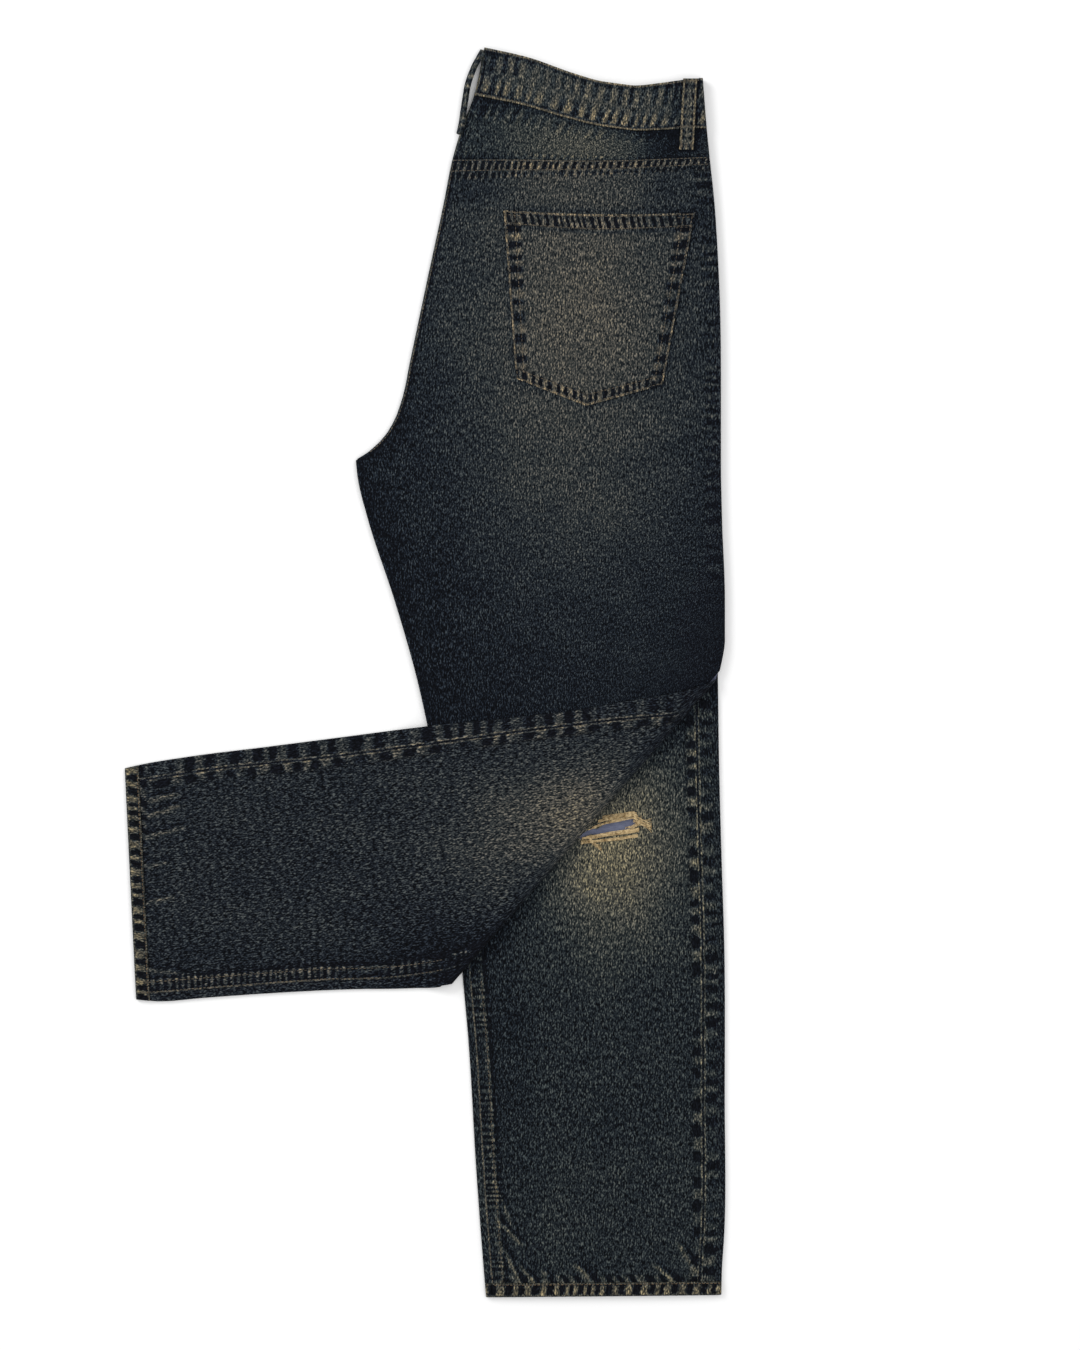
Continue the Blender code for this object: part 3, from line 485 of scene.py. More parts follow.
def mixed(tree, base, *patterns):
    """base plus each pattern times its amount, where a pattern's middle grey leaves base as it is."""
    for pattern, amount in patterns:
        base = add(tree, "ShaderNodeMath", {"operation": "MULTIPLY_ADD"},
                   {0: pattern, 1: amount, 2: base}).outputs[0]
    middle = sum(amount for _, amount in patterns) / 2.0
    return add(tree, "ShaderNodeMath", {"operation": "SUBTRACT"}, {0: base, 1: middle}).outputs[0]


DENIM_TONES = [(0.0, "#090c12"), (0.15, "#161d25"), (0.25, "#21272b"), (0.36, "#2c3233"), (0.47, "#3b3d3a"),
               (0.56, "#464642"), (0.68, "#545246"), (0.86, "#6c6450"), (1.0, "#80765e")]


def denim(name, dark_tint, pale_tint, crinkle):
    """Slub denim, ring-spun indigo warp overdyed brown-black and stone-washed: dry and matt, with
    pale broken streaks along the warp where the yarn is thick, and worn tan on all that stands up."""
    made, tree, shader = new_material(name, roughness=0.95, sheen=0.01, specular=0.08)
    cut = add(tree, "ShaderNodeUVMap", {"uv_map": "cut"}).outputs["UV"]
    # Real warp yarns are 0.45 mm apart and too fine to show, so they are drawn two to three times as coarse
    yarn = threads(tree, cut, 1.2, 4.2, 1.5)
    slub = threads(tree, cut, 1.8, 12.0, 1.5)
    speck = threads(tree, cut, 1.1, 2.0, 1.5, 0.3)
    cloud = threads(tree, cut, 34.0, 52.0, 3.0)
    wrinkle = threads(tree, cut, 2.8, 4.2, 1.5, 0.35)
    # The twill's diagonal is 0.9 mm apart in the cloth, and is drawn at 2.4 mm
    twill_at = add(tree, "ShaderNodeMapping", inputs={"Vector": cut, "Rotation": (0.0, 0.0, 0.62),
                                                      "Scale": (1000.0, 1000.0, 1.0)})
    twill = add(tree, "ShaderNodeTexWave", {"bands_direction": "X"}, {
        "Vector": twill_at.outputs["Vector"], "Scale": 0.131, "Distortion": 1.4, "Detail": 1.0,
        "Detail Scale": 0.6}).outputs["Fac"]
    grain = mixed(tree, 0.0, (yarn, 1.45), (slub, 0.5), (speck, 1.3), (wrinkle, crinkle), (twill, 0.12))
    grain = add(tree, "ShaderNodeMath", {"operation": "MINIMUM"}, {0: grain, 1: 0.48}).outputs[0]
    tone = mixed(tree, read_wear(tree, "tone"), (cloud, 0.16))
    tone = add(tree, "ShaderNodeMath", {"operation": "MULTIPLY_ADD"}, {0: grain, 1: 0.5, 2: tone}).outputs[0]
    # Puckers beside seams: worn pale on top, and dark where the wash didn't reach
    swing = mixed(tree, read_wear(tree, "phase"), (cloud, 3.0), (wrinkle, 2.2))
    wave = add(tree, "ShaderNodeMath", {"operation": "SINE"}, {0: swing}).outputs[0]
    flat_topped = {"operation": "MULTIPLY", "use_clamp": True}
    crest = add(tree, "ShaderNodeMath", flat_topped, {0: wave, 1: 1.35}).outputs[0]
    hollow = add(tree, "ShaderNodeMath", flat_topped, {0: wave, 1: -1.35}).outputs[0]
    crest = add(tree, "ShaderNodeMath", {"operation": "MULTIPLY"},
                {0: crest, 1: read_wear(tree, "light")}).outputs[0]
    hollow = add(tree, "ShaderNodeMath", {"operation": "MULTIPLY"},
                 {0: hollow, 1: read_wear(tree, "dark")}).outputs[0]
    relief = add(tree, "ShaderNodeMath", {"operation": "SUBTRACT"}, {0: crest, 1: hollow}).outputs[0]
    tone = add(tree, "ShaderNodeMath", {"operation": "MULTIPLY_ADD"},
               {0: relief, 1: 0.74, 2: tone}).outputs[0]
    ramp = add(tree, "ShaderNodeValToRGB", inputs={"Fac": tone})
    for position, colour in DENIM_TONES[1:-1]:
        ramp.color_ramp.elements.new(position)
    for stop, (position, colour) in zip(ramp.color_ramp.elements, DENIM_TONES):
        stop.position = position
        tint = [d + (p - d) * position for d, p in zip(dark_tint, pale_tint)]
        stop.color = [c * t for c, t in zip(linear(colour), (*tint, 1.0))]
    # The grain is part change of colour and part change of brightness alone
    brightness = add(tree, "ShaderNodeMath", {"operation": "POWER"}, {0: 7.5, 1: grain}).outputs[0]
    colour = add(tree, "ShaderNodeVectorMath", {"operation": "SCALE"},
                 {0: ramp.outputs["Color"], "Scale": brightness})
    tree.links.new(colour.outputs[0], shader.inputs["Base Color"])
    height = add(tree, "ShaderNodeMath", {"operation": "MULTIPLY_ADD"},
                 {0: relief, 1: 0.9, 2: grain}).outputs[0]
    bump = add(tree, "ShaderNodeBump", inputs={"Strength": 0.55, "Distance": 0.0006, "Height": height})
    tree.links.new(bump.outputs["Normal"], shader.inputs["Normal"])
    return made


def denim_reverse(name, dark, light):
    """The matt inner face of denim: blue-grey where undyed weft shows, and near black as painted shade where
    the seat panel's inner face shows at the fold's corner.
    """
    made, tree, shader = new_material(name, roughness=0.95, specular=0.15)
    cut = add(tree, "ShaderNodeUVMap", {"uv_map": "cut"}).outputs["UV"]
    weft = threads(tree, cut, 5.0, 1.5, 2.0)
    cloud = threads(tree, cut, 30.0, 30.0, 2.0)
    shade = mixed(tree, 0.5, (cloud, 0.35), (weft, 0.6))
    ramp = add(tree, "ShaderNodeValToRGB", inputs={"Fac": shade})
    ramp.color_ramp.elements[0].color = linear(dark)
    ramp.color_ramp.elements[1].color = linear(light)
    tree.links.new(ramp.outputs["Color"], shader.inputs["Base Color"])
    bump = add(tree, "ShaderNodeBump", inputs={"Strength": 0.5, "Distance": 0.0004, "Height": weft})
    tree.links.new(bump.outputs["Normal"], shader.inputs["Normal"])
    return made


def yarn_material(name, dark, light, size):
    """Cotton yarn: matt, a little uneven in colour along its length."""
    made, tree, shader = new_material(name, roughness=0.85, sheen=0.1, specular=0.2)
    place = add(tree, "ShaderNodeTexCoord").outputs["Object"]
    tuft = add(tree, "ShaderNodeTexNoise", inputs={
        "Vector": place, "Scale": 1000.0 / size, "Detail": 2.0, "Roughness": 0.6}).outputs["Fac"]
    ramp = add(tree, "ShaderNodeValToRGB", inputs={"Fac": tuft})
    ramp.color_ramp.elements[0].position = 0.3
    ramp.color_ramp.elements[1].position = 0.7
    ramp.color_ramp.elements[0].color = linear(dark)
    ramp.color_ramp.elements[1].color = linear(light)
    tree.links.new(ramp.outputs["Color"], shader.inputs["Base Color"])
    return made


def floor_material():
    """Plain white card."""
    made, tree, shader = new_material("white card", roughness=0.9, specular=0.1)
    shader.inputs["Base Color"].default_value = linear("#f8f8f8")
    return made


BACK_DENIM = denim("slub denim, overdyed and stone-washed", (1.04, 1.0, 0.99), (1.12, 1.0, 0.95), 0.3)
YOKE_DENIM = denim("slub denim, worn yoke", (1.0, 1.0, 0.98), (1.06, 1.0, 0.93), 0.35)
LEG_DENIM = denim("slub denim, worn lower leg", (1.06, 1.0, 0.93), (1.0, 1.0, 0.96), 0.65)
TURNED_DENIM = denim("slub denim, worn turned leg", (1.12, 1.0, 0.97), (1.06, 1.0, 0.96), 0.8)
BAND_DENIM = denim("slub denim, interlined waistband", (1.0, 1.0, 1.0), (1.08, 1.0, 0.95), 0.3)
HEM_DENIM = denim("slub denim, roped hems", (1.12, 1.0, 0.9), (1.05, 1.0, 0.92), 0.5)
REVERSE = denim_reverse("denim reverse, weft face", "#42465c", "#7f8499")
# The seat panel's inner face is near black as painted shade, where it shows in a small gap at the fold's
# corner
SHADE_PAINTED_REVERSE = denim_reverse("denim reverse, painted shade on the seat panel", "#14171d", "#262a31")
THREAD = yarn_material("polyester-cotton topstitching, tobacco", "#2c2a26", "#6e6352", 9.0)
HEM_THREAD = yarn_material("polyester-cotton topstitching, old gold", "#3c3225", "#77634a", 9.0)
FRAYED = yarn_material("undyed weft yarn, frayed", "#7c6440", "#d0b98d", 2.6)

pieces = {}


def cut_of(patches, without=None):
    """Width, length and area of the flat cut, in millimetres, from the patches' true lengths and faces."""
    area, width, length = 0.0, 0.0, 0.0
    for patch in patches:
        p = patch.points
        across = np.linalg.norm(np.diff(p, axis=1), axis=2)
        along = np.linalg.norm(np.diff(p, axis=0), axis=2)
        faces = np.linalg.norm(np.cross(p[1:, 1:] - p[:-1, :-1], p[1:, :-1] - p[:-1, 1:]), axis=2) / 2.0
        if without is not None:
            middle = (p[1:, 1:] + p[:-1, :-1]) / 2.0
            faces = np.where(without(middle[:, :, 0], middle[:, :, 1]), 0.0, faces)
        area += float(faces.sum())
        width = max(width, float(across.sum(axis=1).max()))
        length += float(along.sum(axis=0).max()) if patch is patches[0] else 0.0
    # A rounding error can leave the area a little over width times length, and length takes it up
    return (width, max(length, area / width * 1.002)), area


def make_cloth(node, patches, thickness, outer, inner, straight=False,
               without=None):
    """The cloth that stands for a solid, which is hidden. The size of its flat cut is worked out, and nothing
    uses it.
    """
    (width, length), area = cut_of(patches, without)
    piece = shell(node + "_cloth", patches, thickness, outer, inner, straight, without)
    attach(piece, "root")
    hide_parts(node)
    pieces[node] = piece


# Rows across the folded garment
def between(start, end, share, bow=0.0):
    share = np.asarray(share, float)
    xy = np.asarray(start, float) + np.outer(share, np.asarray(end, float) - np.asarray(start, float))
    xy[:, 1] -= bow * dip_shape(share)
    return xy


def upper_ends(y):
    y_right = float(upper_partner(y))
    return (float(left_x(y)), y), (float(upper_side_x(y_right)), y_right), float(dip_depth(y))


def lower_ends(y):
    """The bottom layer's rows are slanted at the waist as the top ones are, and level in the leg."""
    y_right = y + float(upper_partner(max(y, CROTCH_Y))) - max(y, CROTCH_Y)
    y_right += 2.0 * float(smooth_step((-480.0 - y) / 69.0))
    return (float(left_x(y)), y), (float(lower_side_x(y_right)), y_right), float(dip_depth(y))


def row_length(start, end):
    return float(np.hypot(end[0] - start[0], end[1] - start[1]))


def rolled_end(height, stop, turn, run, steps, run_points=0):
    """A rolled edge as (inset, drop) from the flat span outwards: an arc, and then a straight run."""
    turn = math.radians(turn)
    fall = abs(height - stop) - run * math.sin(turn)
    radius = fall / (1.0 - math.cos(turn))
    angles = np.linspace(0.0, turn, steps)
    inset = radius - radius * np.sin(angles)
    drop = radius - radius * np.cos(angles)
    share = 1.0 - (1.0 - np.arange(1, run_points + 1) / max(run_points, 1)) ** 1.6
    inset = np.append(inset, inset[-1] - share * run * math.cos(turn))
    drop = np.append(drop, drop[-1] + share * run * math.sin(turn))
    return inset, drop


def over_row(ends, top, stop, turn_left, count, first=4.2, steps=8):
    """The top layer's outer line: rolled down at the left, across, and rolled down at the side."""
    start, end, bow = ends
    length = row_length(start, end)
    probe = between(start, end, [2.0 / length, 1 - 2.0 / length], bow)
    left_z, right_z = top(probe[:, 0], probe[:, 1])
    left_in, left_drop = rolled_end(left_z, stop, turn_left, 0.0, steps)
    right_in, right_drop = rolled_end(right_z, stop, 180.0, 0.0, steps)
    near = first + np.array([0.0, 0.8, 1.8, 3.3, 5.3])
    inner = np.concatenate([near, np.linspace(12.0, length - 12.0, count), (length - near)[::-1]])
    where = np.concatenate([left_in[::-1], inner, length - right_in])
    xy = between(start, end, where / length, bow)
    z = top(xy[:, 0], xy[:, 1])
    z[:steps] = left_z - left_drop[::-1]
    z[-steps:] = right_z - right_drop
    return np.column_stack([xy, z]), where, length


def tube_stop(y):
    return LOWER_TUBE + (float(body_edge(y)) - 7.0) / 2.0 + LAYER_GAP / 2.0


def turn_at(y):
    return 90.0 + 90.0 * float(smooth_step((CROTCH_Y + 6.0 - y) / 24.0))


def upper_stop(y):
    return tube_stop(y) + LAYER_GAP / 2


def stacked(rows):
    """The rows' points, the distances along them and their lengths, as three arrays."""
    points, inset, length = (np.array(part) for part in zip(*rows))
    return points, inset, length[:, None]


def over_rows(heights, top, stop_of, count, turn_of=lambda y: 90.0, first=4.2):
    return stacked([over_row(upper_ends(y), top, stop_of(y), turn_of(y), count, first) for y in heights])


def seat_seam(patch, inset, rows_y):
    """The seat seam's worn ridge, 2 mm in from the folded edge, with a dark groove inside it."""
    seat = smooth_step((rows_y[:, None] - 192.0) / 10.0)
    patch.tone += seat * (26.0 * bell(inset, 1.3, 0.9) - 26.0 * bell(inset, 3.4, 1.2))
    patch.points[:, :, 2] -= seat * 0.45 * bell(inset, 3.8, 0.8)
    thigh = 1.0 - seat
    patch.tone += thigh * 10.0 * bell(inset, 0.6, 1.0) - thigh * 6.0 * bell(inset, 4.0, 2.5)


def make_upper_back():
    heights = np.concatenate([[450.7, 450.2, 449.2], np.arange(447.6, 436.0, -1.6),
                              np.arange(434.0, -252.0, -3.0), [-252.5, -255.0, -257.6]])
    rows, inset, length = over_rows(heights, body_top, upper_stop, 92, turn_at)
    y = heights[:, None]
    x, own_y = rows[:, :, 0], rows[:, :, 1]
    span = window(inset, 3.0, length - 3.0, 3.0)
    lift, pale = creased(x, own_y, THIGH_CREASES)
    uncovered = 1.0 - smooth_step((turned_top_y(x) + 6.0 - own_y) / 12.0)
    rows[:, :, 2] += span * uncovered * (lift + sway(x, own_y, 11))
    rows[:, :, 2] += RIDGE * window(y, 438.6, 451.2, 1.6) * window(inset, 1.0, length - 1.0, 2.0)
    patch = Patch(rows, cut_from_rows(rows, y), thigh_tone(x, own_y) + pale, (0, 0, 1))
    # The pale line on the back panel's raised top edge is partly wear and partly painted highlight
    patch.tone += 18.0 * bell(y, 450.0, 0.9) - 8.0 * bell(y, 448.2, 0.8) + 16.0 * bell(y, 439.2, 0.9)
    patch.tone += 3.0 * bell(y, 430.0, 6.0) - 16.0 * bell(y, 436.6, 1.4)
    phase = pucker_phase(5.9, 21)(inset)
    band = window(y, 440.4, 448.6, 1.6) * uneven(22, 17.0, 0.6)(inset)
    patch.pucker(phase, band, 0.5, 1.3)
    below = window(y, 432.0, 438.5, 3.0) * uneven(23, 12.0, 0.1)(inset)
    patch.pucker(phase + 0.8, below, 0.55, 0.5)
    side = window(length - inset, 2.0, 15.0, 6.0) * uneven(24, 9.0, 0.0)(own_y)
    side = side * smooth_step((own_y - 40) / 90)
    patch.pucker(pucker_phase(11.0, 25)(own_y), side * 0.45, 0.5, 0.9)
    seat_seam(patch, inset, heights)
    # Painted shadow on the panel close round the pocket's edges
    outline = [POCKET[k] for k in ("top_left", "top_right", "right", "tip", "left")]
    patch.tone -= 22.0 * np.exp(-from_outline(x, own_y, outline) / 2.2)
    patch.raise_puckers(0.12)
    # Its inner face takes the near-black painted shade
    make_cloth("right_back_panel", [patch], CLOTH, BACK_DENIM, SHADE_PAINTED_REVERSE)


def painted_loop_shadow(x, y):
    """Painted shadow on the cloth beside the side belt loop."""
    line = np.array(SIDE_LOOP[::-1])
    beside = x - np.interp(y, line[:, 1], line[:, 0])
    reach = np.where(beside < 0, 5.5, 3.5)
    outside = np.maximum(np.abs(beside) - LOOP_WIDTH / 2, 0.0)
    return 40.0 * smooth_step((y - 456.0) / 3.0) * np.exp(-outside / reach)


def make_upper_yoke():
    heights = np.concatenate([[506.7, 505.0, 503.0], np.linspace(500.5, 453.0, 20), [451.6, 451.3]])
    rows, inset, length = over_rows(heights, body_top, upper_stop, 92)
    y = heights[:, None]
    x, own_y = rows[:, :, 0], rows[:, :, 1]
    lift, pale = creased(x, own_y, [((34, 466), (58, 448), 0.4, 3.5, 7),
                                    ((200, 486), (226, 462), 0.4, 3.0, 10),
                                    ((176, 492), (196, 470), 0.4, 4.0, 6),
                                    ((60, 500), (100, 474), 0.4, 8.0, 3),
                                    ((216, 494), (226, 474), 0.4, 2.5, 8)])
    rows[:, :, 2] += window(inset, 4.0, length - 4.0, 4.0) * (lift + sway(x, own_y, 12))
    patch = Patch(rows, cut_from_rows(rows, y), yoke_tone(x, own_y) + pale, (0, 0, 1))
    # Painted shade on the yoke below the waistband, deeper towards both ends
    ends = 1.0 + bell(x, 42.0, 26.0) + bell(x, 216.0, 26.0)
    patch.tone -= 16.0 * smooth_step((y - 500.0) / 6.0) + 9.0 * ends * smooth_step((y - 486.0) / 14.0)
    # Painted shade in the crease above the back panel's raised edge
    patch.tone -= 16.0 * bell(y, 452.2, 1.5)
    phase = pucker_phase(9.0, 31)(inset)
    patch.pucker(phase, window(y, 488.0, 503.0, 8.0) * uneven(32, 14.0, 0.0)(inset), 0.3, 0.25)
    patch.pucker(pucker_phase(6.5, 33)(inset), window(y, 452.0, 458.0, 4.0) * uneven(34, 9.0, 0.0)(inset),
                 0.3, 0.3)
    seat_seam(patch, inset, heights)
    # Painted shadow beside the side belt loop
    patch.tone -= painted_loop_shadow(x, own_y)
    make_cloth("right_back_yoke", [patch], CLOTH, YOKE_DENIM, REVERSE)


def make_upper_band():
    heights = np.concatenate([[549.0, 548.7, 548.0], np.linspace(546.6, 509.4, 34), [508.0, 507.3, 507.0]])
    rows, inset, length = over_rows(heights, band_top, lambda y: BAND_SPLIT + LAYER_GAP / 2, 130, first=5.4)
    y = heights[:, None]
    x, own_y = rows[:, :, 0], rows[:, :, 1]
    round_over = np.interp(heights, [507.0, 507.3, 508.0, 548.0, 548.7, 549.0],
                           [0.75, 0.3, 0.0, 0.0, 0.3, 0.8])
    rows[:, :, 2] -= round_over[:, None] * window(inset, 2.0, length - 2.0, 2.0)
    rows[:, :, 2] += window(inset, 4.0, length - 4.0, 4.0) * 0.6 * sway(x, own_y, 13)
    tone = 55.0 + 4.0 * bell(x, 150.0, 70.0)
    # Painted shadow beside the centre belt loop
    tone = tone - 16.0 * bell(x, 54.0, 12.0) * smooth_step((own_y - 512.0) / 16.0)
    # A pale line on the rounded lower edge, partly wear and partly painted highlight, with a dark line just
    # above it
    tone = tone + 7.0 * window(y, 510.5, 522.0, 6.0) + 38.0 * bell(y, 507.8, 0.9) - 38.0 * bell(y, 510.0, 0.9)
    tone = tone + 34.0 * bell(y, 548.3, 1.0) - 26.0 * bell(y, 545.4, 1.5)
    patch = Patch(rows, cut_from_rows(rows, y), tone, (0, 0, 1))
    phase = pucker_phase(9.8, 41)(inset + 0.1 * (548 - y))
    fall = smooth_step((y - 509.5) / 3.0) * smooth_step((534.0 - y) / 22.0) * uneven(42, 15.0, 0.35)(inset)
    patch.pucker(phase, fall, 0.5, 0.8)
    patch.pucker(pucker_phase(9.0, 43)(inset), window(y, 530.0, 547.0, 6.0) * uneven(44, 13.0, 0.1)(inset),
                 0.22, 0.5)
    seat_seam(patch, inset, heights)
    # Painted shadow beside the side belt loop
    patch.tone -= painted_loop_shadow(x, own_y)
    patch.raise_puckers(0.3)
    make_cloth("right_back_waistband", [patch], BAND, BAND_DENIM, BAND_DENIM)


# The bottom layer, which lies on the floor and wraps up at both edges
def under_row(ends, stop, turn_left, runs, over_share, count, steps=7, run_points=(5, 13)):
    start, end, bow = ends
    length = row_length(start, end)
    left_in, left_rise = rolled_end(0.0, stop, turn_left, runs[0], steps, run_points[0])
    right_in, right_rise = rolled_end(0.0, stop, 180.0, runs[1], steps, run_points[1])
    where = np.concatenate([left_in[::-1], np.linspace(12.0, length - 12.0, count), length - right_in])
    xy = between(start, end, where / length, bow)
    z = np.zeros(len(where))
    z[: len(left_in)] = left_rise[::-1]
    z[-len(right_in):] = right_rise
    for part, depth in ((slice(0, run_points[0]), left_in[steps:][::-1]),
                        (slice(len(z) - run_points[1], None), right_in[steps:])):
        share = over_share * smooth_step(depth / 4.0)
        z[part] += share * (leg_top(xy[part, 0], xy[part, 1]) - LOWER_TUBE)
    return np.column_stack([xy, z]), where, length


# Distances from a seam, outwards, where the cloth's grid is fine enough for the worn lines beside it
NEAR_SEAM = np.array([4.9, 3.7, 2.8, 2.1, 1.6, 1.2, 0.8, 0.4, 0.0])


def leg_share(y):
    return float(smooth_step((100.0 - y) / 60.0))


def outseam_wear(patch, distance, own_y, seed, pitch=21.0, reach=9.0, light=0.45, dark=1.35):
    """A seam with no stitching on it: a worn pale line at each side, and dark hollows beside them."""
    patch.tone += 42.0 * bell(distance, 1.5, 0.75) - 30.0 * bell(distance, 0.1, 0.7)
    hollows = window(distance, 1.8, reach, 3.5) * uneven(seed, 19.0, 0.0)(own_y)
    patch.pucker(pucker_phase(pitch, seed + 50)(own_y), hollows, light, dark)


def make_lower_back():
    heights = np.concatenate([np.arange(450.7, 0.0, -8.0), np.arange(0.0, -536.0, -3.0), [-536.7]])
    rows = []
    for y in heights:
        in_leg = float(smooth_step((-110.0 - y) / 80.0))
        runs = (1.2 + (INSEAM_IN - 2.9) * in_leg, 1.2 + (OUTSEAM_IN - 2.9) * leg_share(y))
        stop = tube_stop(y) - LAYER_GAP / 2
        rows.append(under_row(lower_ends(y), stop, turn_at(y), runs, leg_share(y), 26))
    rows, inset, length = stacked(rows)
    x, own_y = rows[:, :, 0], rows[:, :, 1]
    patch = Patch(rows, cut_from_rows(rows, heights[:, None]), leg_tone(x, own_y), (0, 0, -1))
    on_strip = (np.arange(rows.shape[1]) >= rows.shape[1] - 16)[None, :]
    from_seam = np.where(on_strip, OUTSEAM_IN - (length - inset), 99.0)
    outseam_wear(patch, from_seam, own_y, 52, 15.0, 13.0, 0.35, 0.65)
    patch.tone -= np.where(on_strip, 1.0 + 8.0 * bell(length - inset, 1.0, 3.0), 0.0)
    make_cloth("left_back_panel", [patch], CLOTH, LEG_DENIM, REVERSE)


def fell_height(distance):
    """The felled seam's raised strip, rounded off at both sides."""
    return RIDGE * smooth_step((distance + 0.1) / 0.8) * smooth_step((FELL_WIDTH - distance + 0.3) / 0.8)


def fell_wear(patch, distance, along, seed):
    """Wear on a felled seam: pale rows where it stands up, and dark between its puckers."""
    on = window(distance, 0.0, FELL_WIDTH, 1.5)
    patch.tone += on + 38.0 * bell(distance, 0.9, 0.8) + 34.0 * bell(distance, FELL_WIDTH - 0.6, 0.8)
    patch.tone += 16.0 * bell(distance, FELL_WIDTH - 3.4, 0.7)
    patch.tone -= 32.0 * bell(distance, FELL_WIDTH + 1.8, 1.6) + 16.0 * bell(distance, 2.9, 0.9)
    patch.pucker(pucker_phase(5.6, seed)(along), window(distance, 1.5, FELL_WIDTH + 4.0, 4.0)
                 * uneven(seed + 1, 16.0, 0.1)(along), 0.35, 0.6)


def from_outline(x, y, outline):
    """Distance to the nearest side of a closed outline."""
    outline, nearest = np.array(outline, float), np.full(x.shape, 1e9)
    for start, end in zip(outline, np.roll(outline, -1, axis=0)):
        way = end - start
        t = np.clip(((x - start[0]) * way[0] + (y - start[1]) * way[1]) / (way @ way), 0, 1)
        nearest = np.minimum(nearest, np.hypot(x - start[0] - t * way[0], y - start[1] - t * way[1]))
    return nearest


def inside_outline(outline):
    outline = np.array(outline, float)

    def inside(x, y):
        hit = np.zeros(np.shape(x), bool)
        for (x0, y0), (x1, y1) in zip(outline, np.roll(outline, -1, axis=0)):
            if y0 != y1:
                crosses = (y0 > y) != (y1 > y)
                hit ^= crosses & (x < x0 + (y - y0) * (x1 - x0) / (y1 - y0))
        return hit

    return inside


def make_lower_front():
    heights = np.concatenate([np.arange(58.0, -118.0, -3.0), np.arange(-119.0, -157.0, -0.7),
                              np.arange(-158.0, -446.0, -2.7), np.arange(-447.0, -522.0, -1.5),
                              np.arange(-523.0, -536.0, -1.0), [-536.7]])
    first, rows, insets = INSEAM_IN + SEAM_GAP, [], []
    for y in heights:
        start, end, _ = lower_ends(y)
        length = row_length(start, end)
        low, high = start[0] + first, end[0] - OUTSEAM_IN - SEAM_GAP
        fell = low + np.concatenate([[0, 0.3, 0.7, 1.2], np.linspace(2.2, 10.4, 6), [11.3, 11.8, 12.3, 13.0]])
        marks = np.concatenate([fell, np.linspace(fell[-1] + 2.2, 114.0, 24), np.linspace(115.2, 192.0, 66),
                                np.linspace(194.0, high - 6.5, 17), high - NEAR_SEAM])
        share = (marks - start[0]) / (end[0] - start[0])
        xy = between(start, end, share)
        rows.append(np.column_stack([xy, leg_top(xy[:, 0], xy[:, 1])]))
        insets.append(share * length)
    rows, inset = np.array(rows), np.array(insets)
    x, y = rows[:, :, 0], rows[:, :, 1]
    from_seam = (lower_side_x(y) - OUTSEAM_IN) - x
    lift, pale = creased(x, y, LEG_CREASES)
    shows = smooth_step((-from_fold(x, y) - 3.0) / 12.0)
    free = shows * smooth_step((inset - 22.0) / 10.0) * smooth_step(from_seam / 8.0)
    rows[:, :, 2] += free * (lift + sway(x, y, 14)) + shows * fell_height(inset - first)
    patch = Patch(rows, cut_from_rows(rows, heights[:, None]), leg_tone(x, y) + pale, (0, 0, 1))
    outseam_wear(patch, from_seam, y, 53)
    above_hem(patch, x, y - HEM_LEFT_Y - HEM_DEPTH, 57)
    fell_wear(patch, inset - first, y, 54)
    near_rip = from_outline(x, y, RIP)
    patch.tone += 12.0 * np.exp(-near_rip / 1.4)
    patch.raise_puckers(0.1)
    gone = inside_outline(RIP)

    def left_out(x, y):
        return gone(x, y) | (from_fold(x, y) > 26.0)

    make_cloth("left_front_panel", [patch], CLOTH, LEG_DENIM, REVERSE,
               without=left_out)


def hem_wear(patch, along, depth, seed, slant=0.35):
    """Roping on a hem: pale tan twists over the band, and dark hollows in its inner half."""
    phase = pucker_phase(10.6, seed)(along + slant * depth * 6.0)
    patch.tone = np.full_like(patch.tone, 50.0) + 16.0 * bell(depth, 0.9, 0.12)
    patch.tone -= 24.0 * bell(depth, 1.0, 0.05)
    patch.tone += 18.0 * bell(depth, 0.03, 0.05) - 22.0 * bell(depth, 0.13, 0.05)
    strong = window(depth, 0.14, 0.86, 0.16) * uneven(seed + 1, 13.0, 0.55)(along)
    patch.pucker(phase, strong, 0.55, 1.35)
    patch.light *= 0.7 + 0.5 * depth
    patch.dark *= 1.3 - 0.7 * depth
    patch.raise_puckers(0.32)


def above_hem(patch, along, height, seed):
    """The leg just above its hem: dark ovals between short creases that slant up from the stitching."""
    slanted = along + 0.55 * height
    ovals = window(height, 0.5, 7.0, 4.0) * uneven(seed + 1, 19.0, 0.2)(along)
    patch.pucker(pucker_phase(13.0, seed)(slanted), ovals, 0.5, 1.1)
    patch.tone += 30.0 * bell(height, 0.9, 0.9) * uneven(seed + 2, 7.0, 0.0)(along)
    patch.tone -= 12.0 * bell(height, 3.6, 2.2) * uneven(seed + 3, 11.0, 0.1)(along)


def hem_round(depth):
    """How far a hem's surface drops at its folded lower edge and at its border with the leg."""
    return 0.9 * smooth_step((depth - 0.86) / 0.14) ** 2 + 0.25 * smooth_step((0.06 - depth) / 0.06)


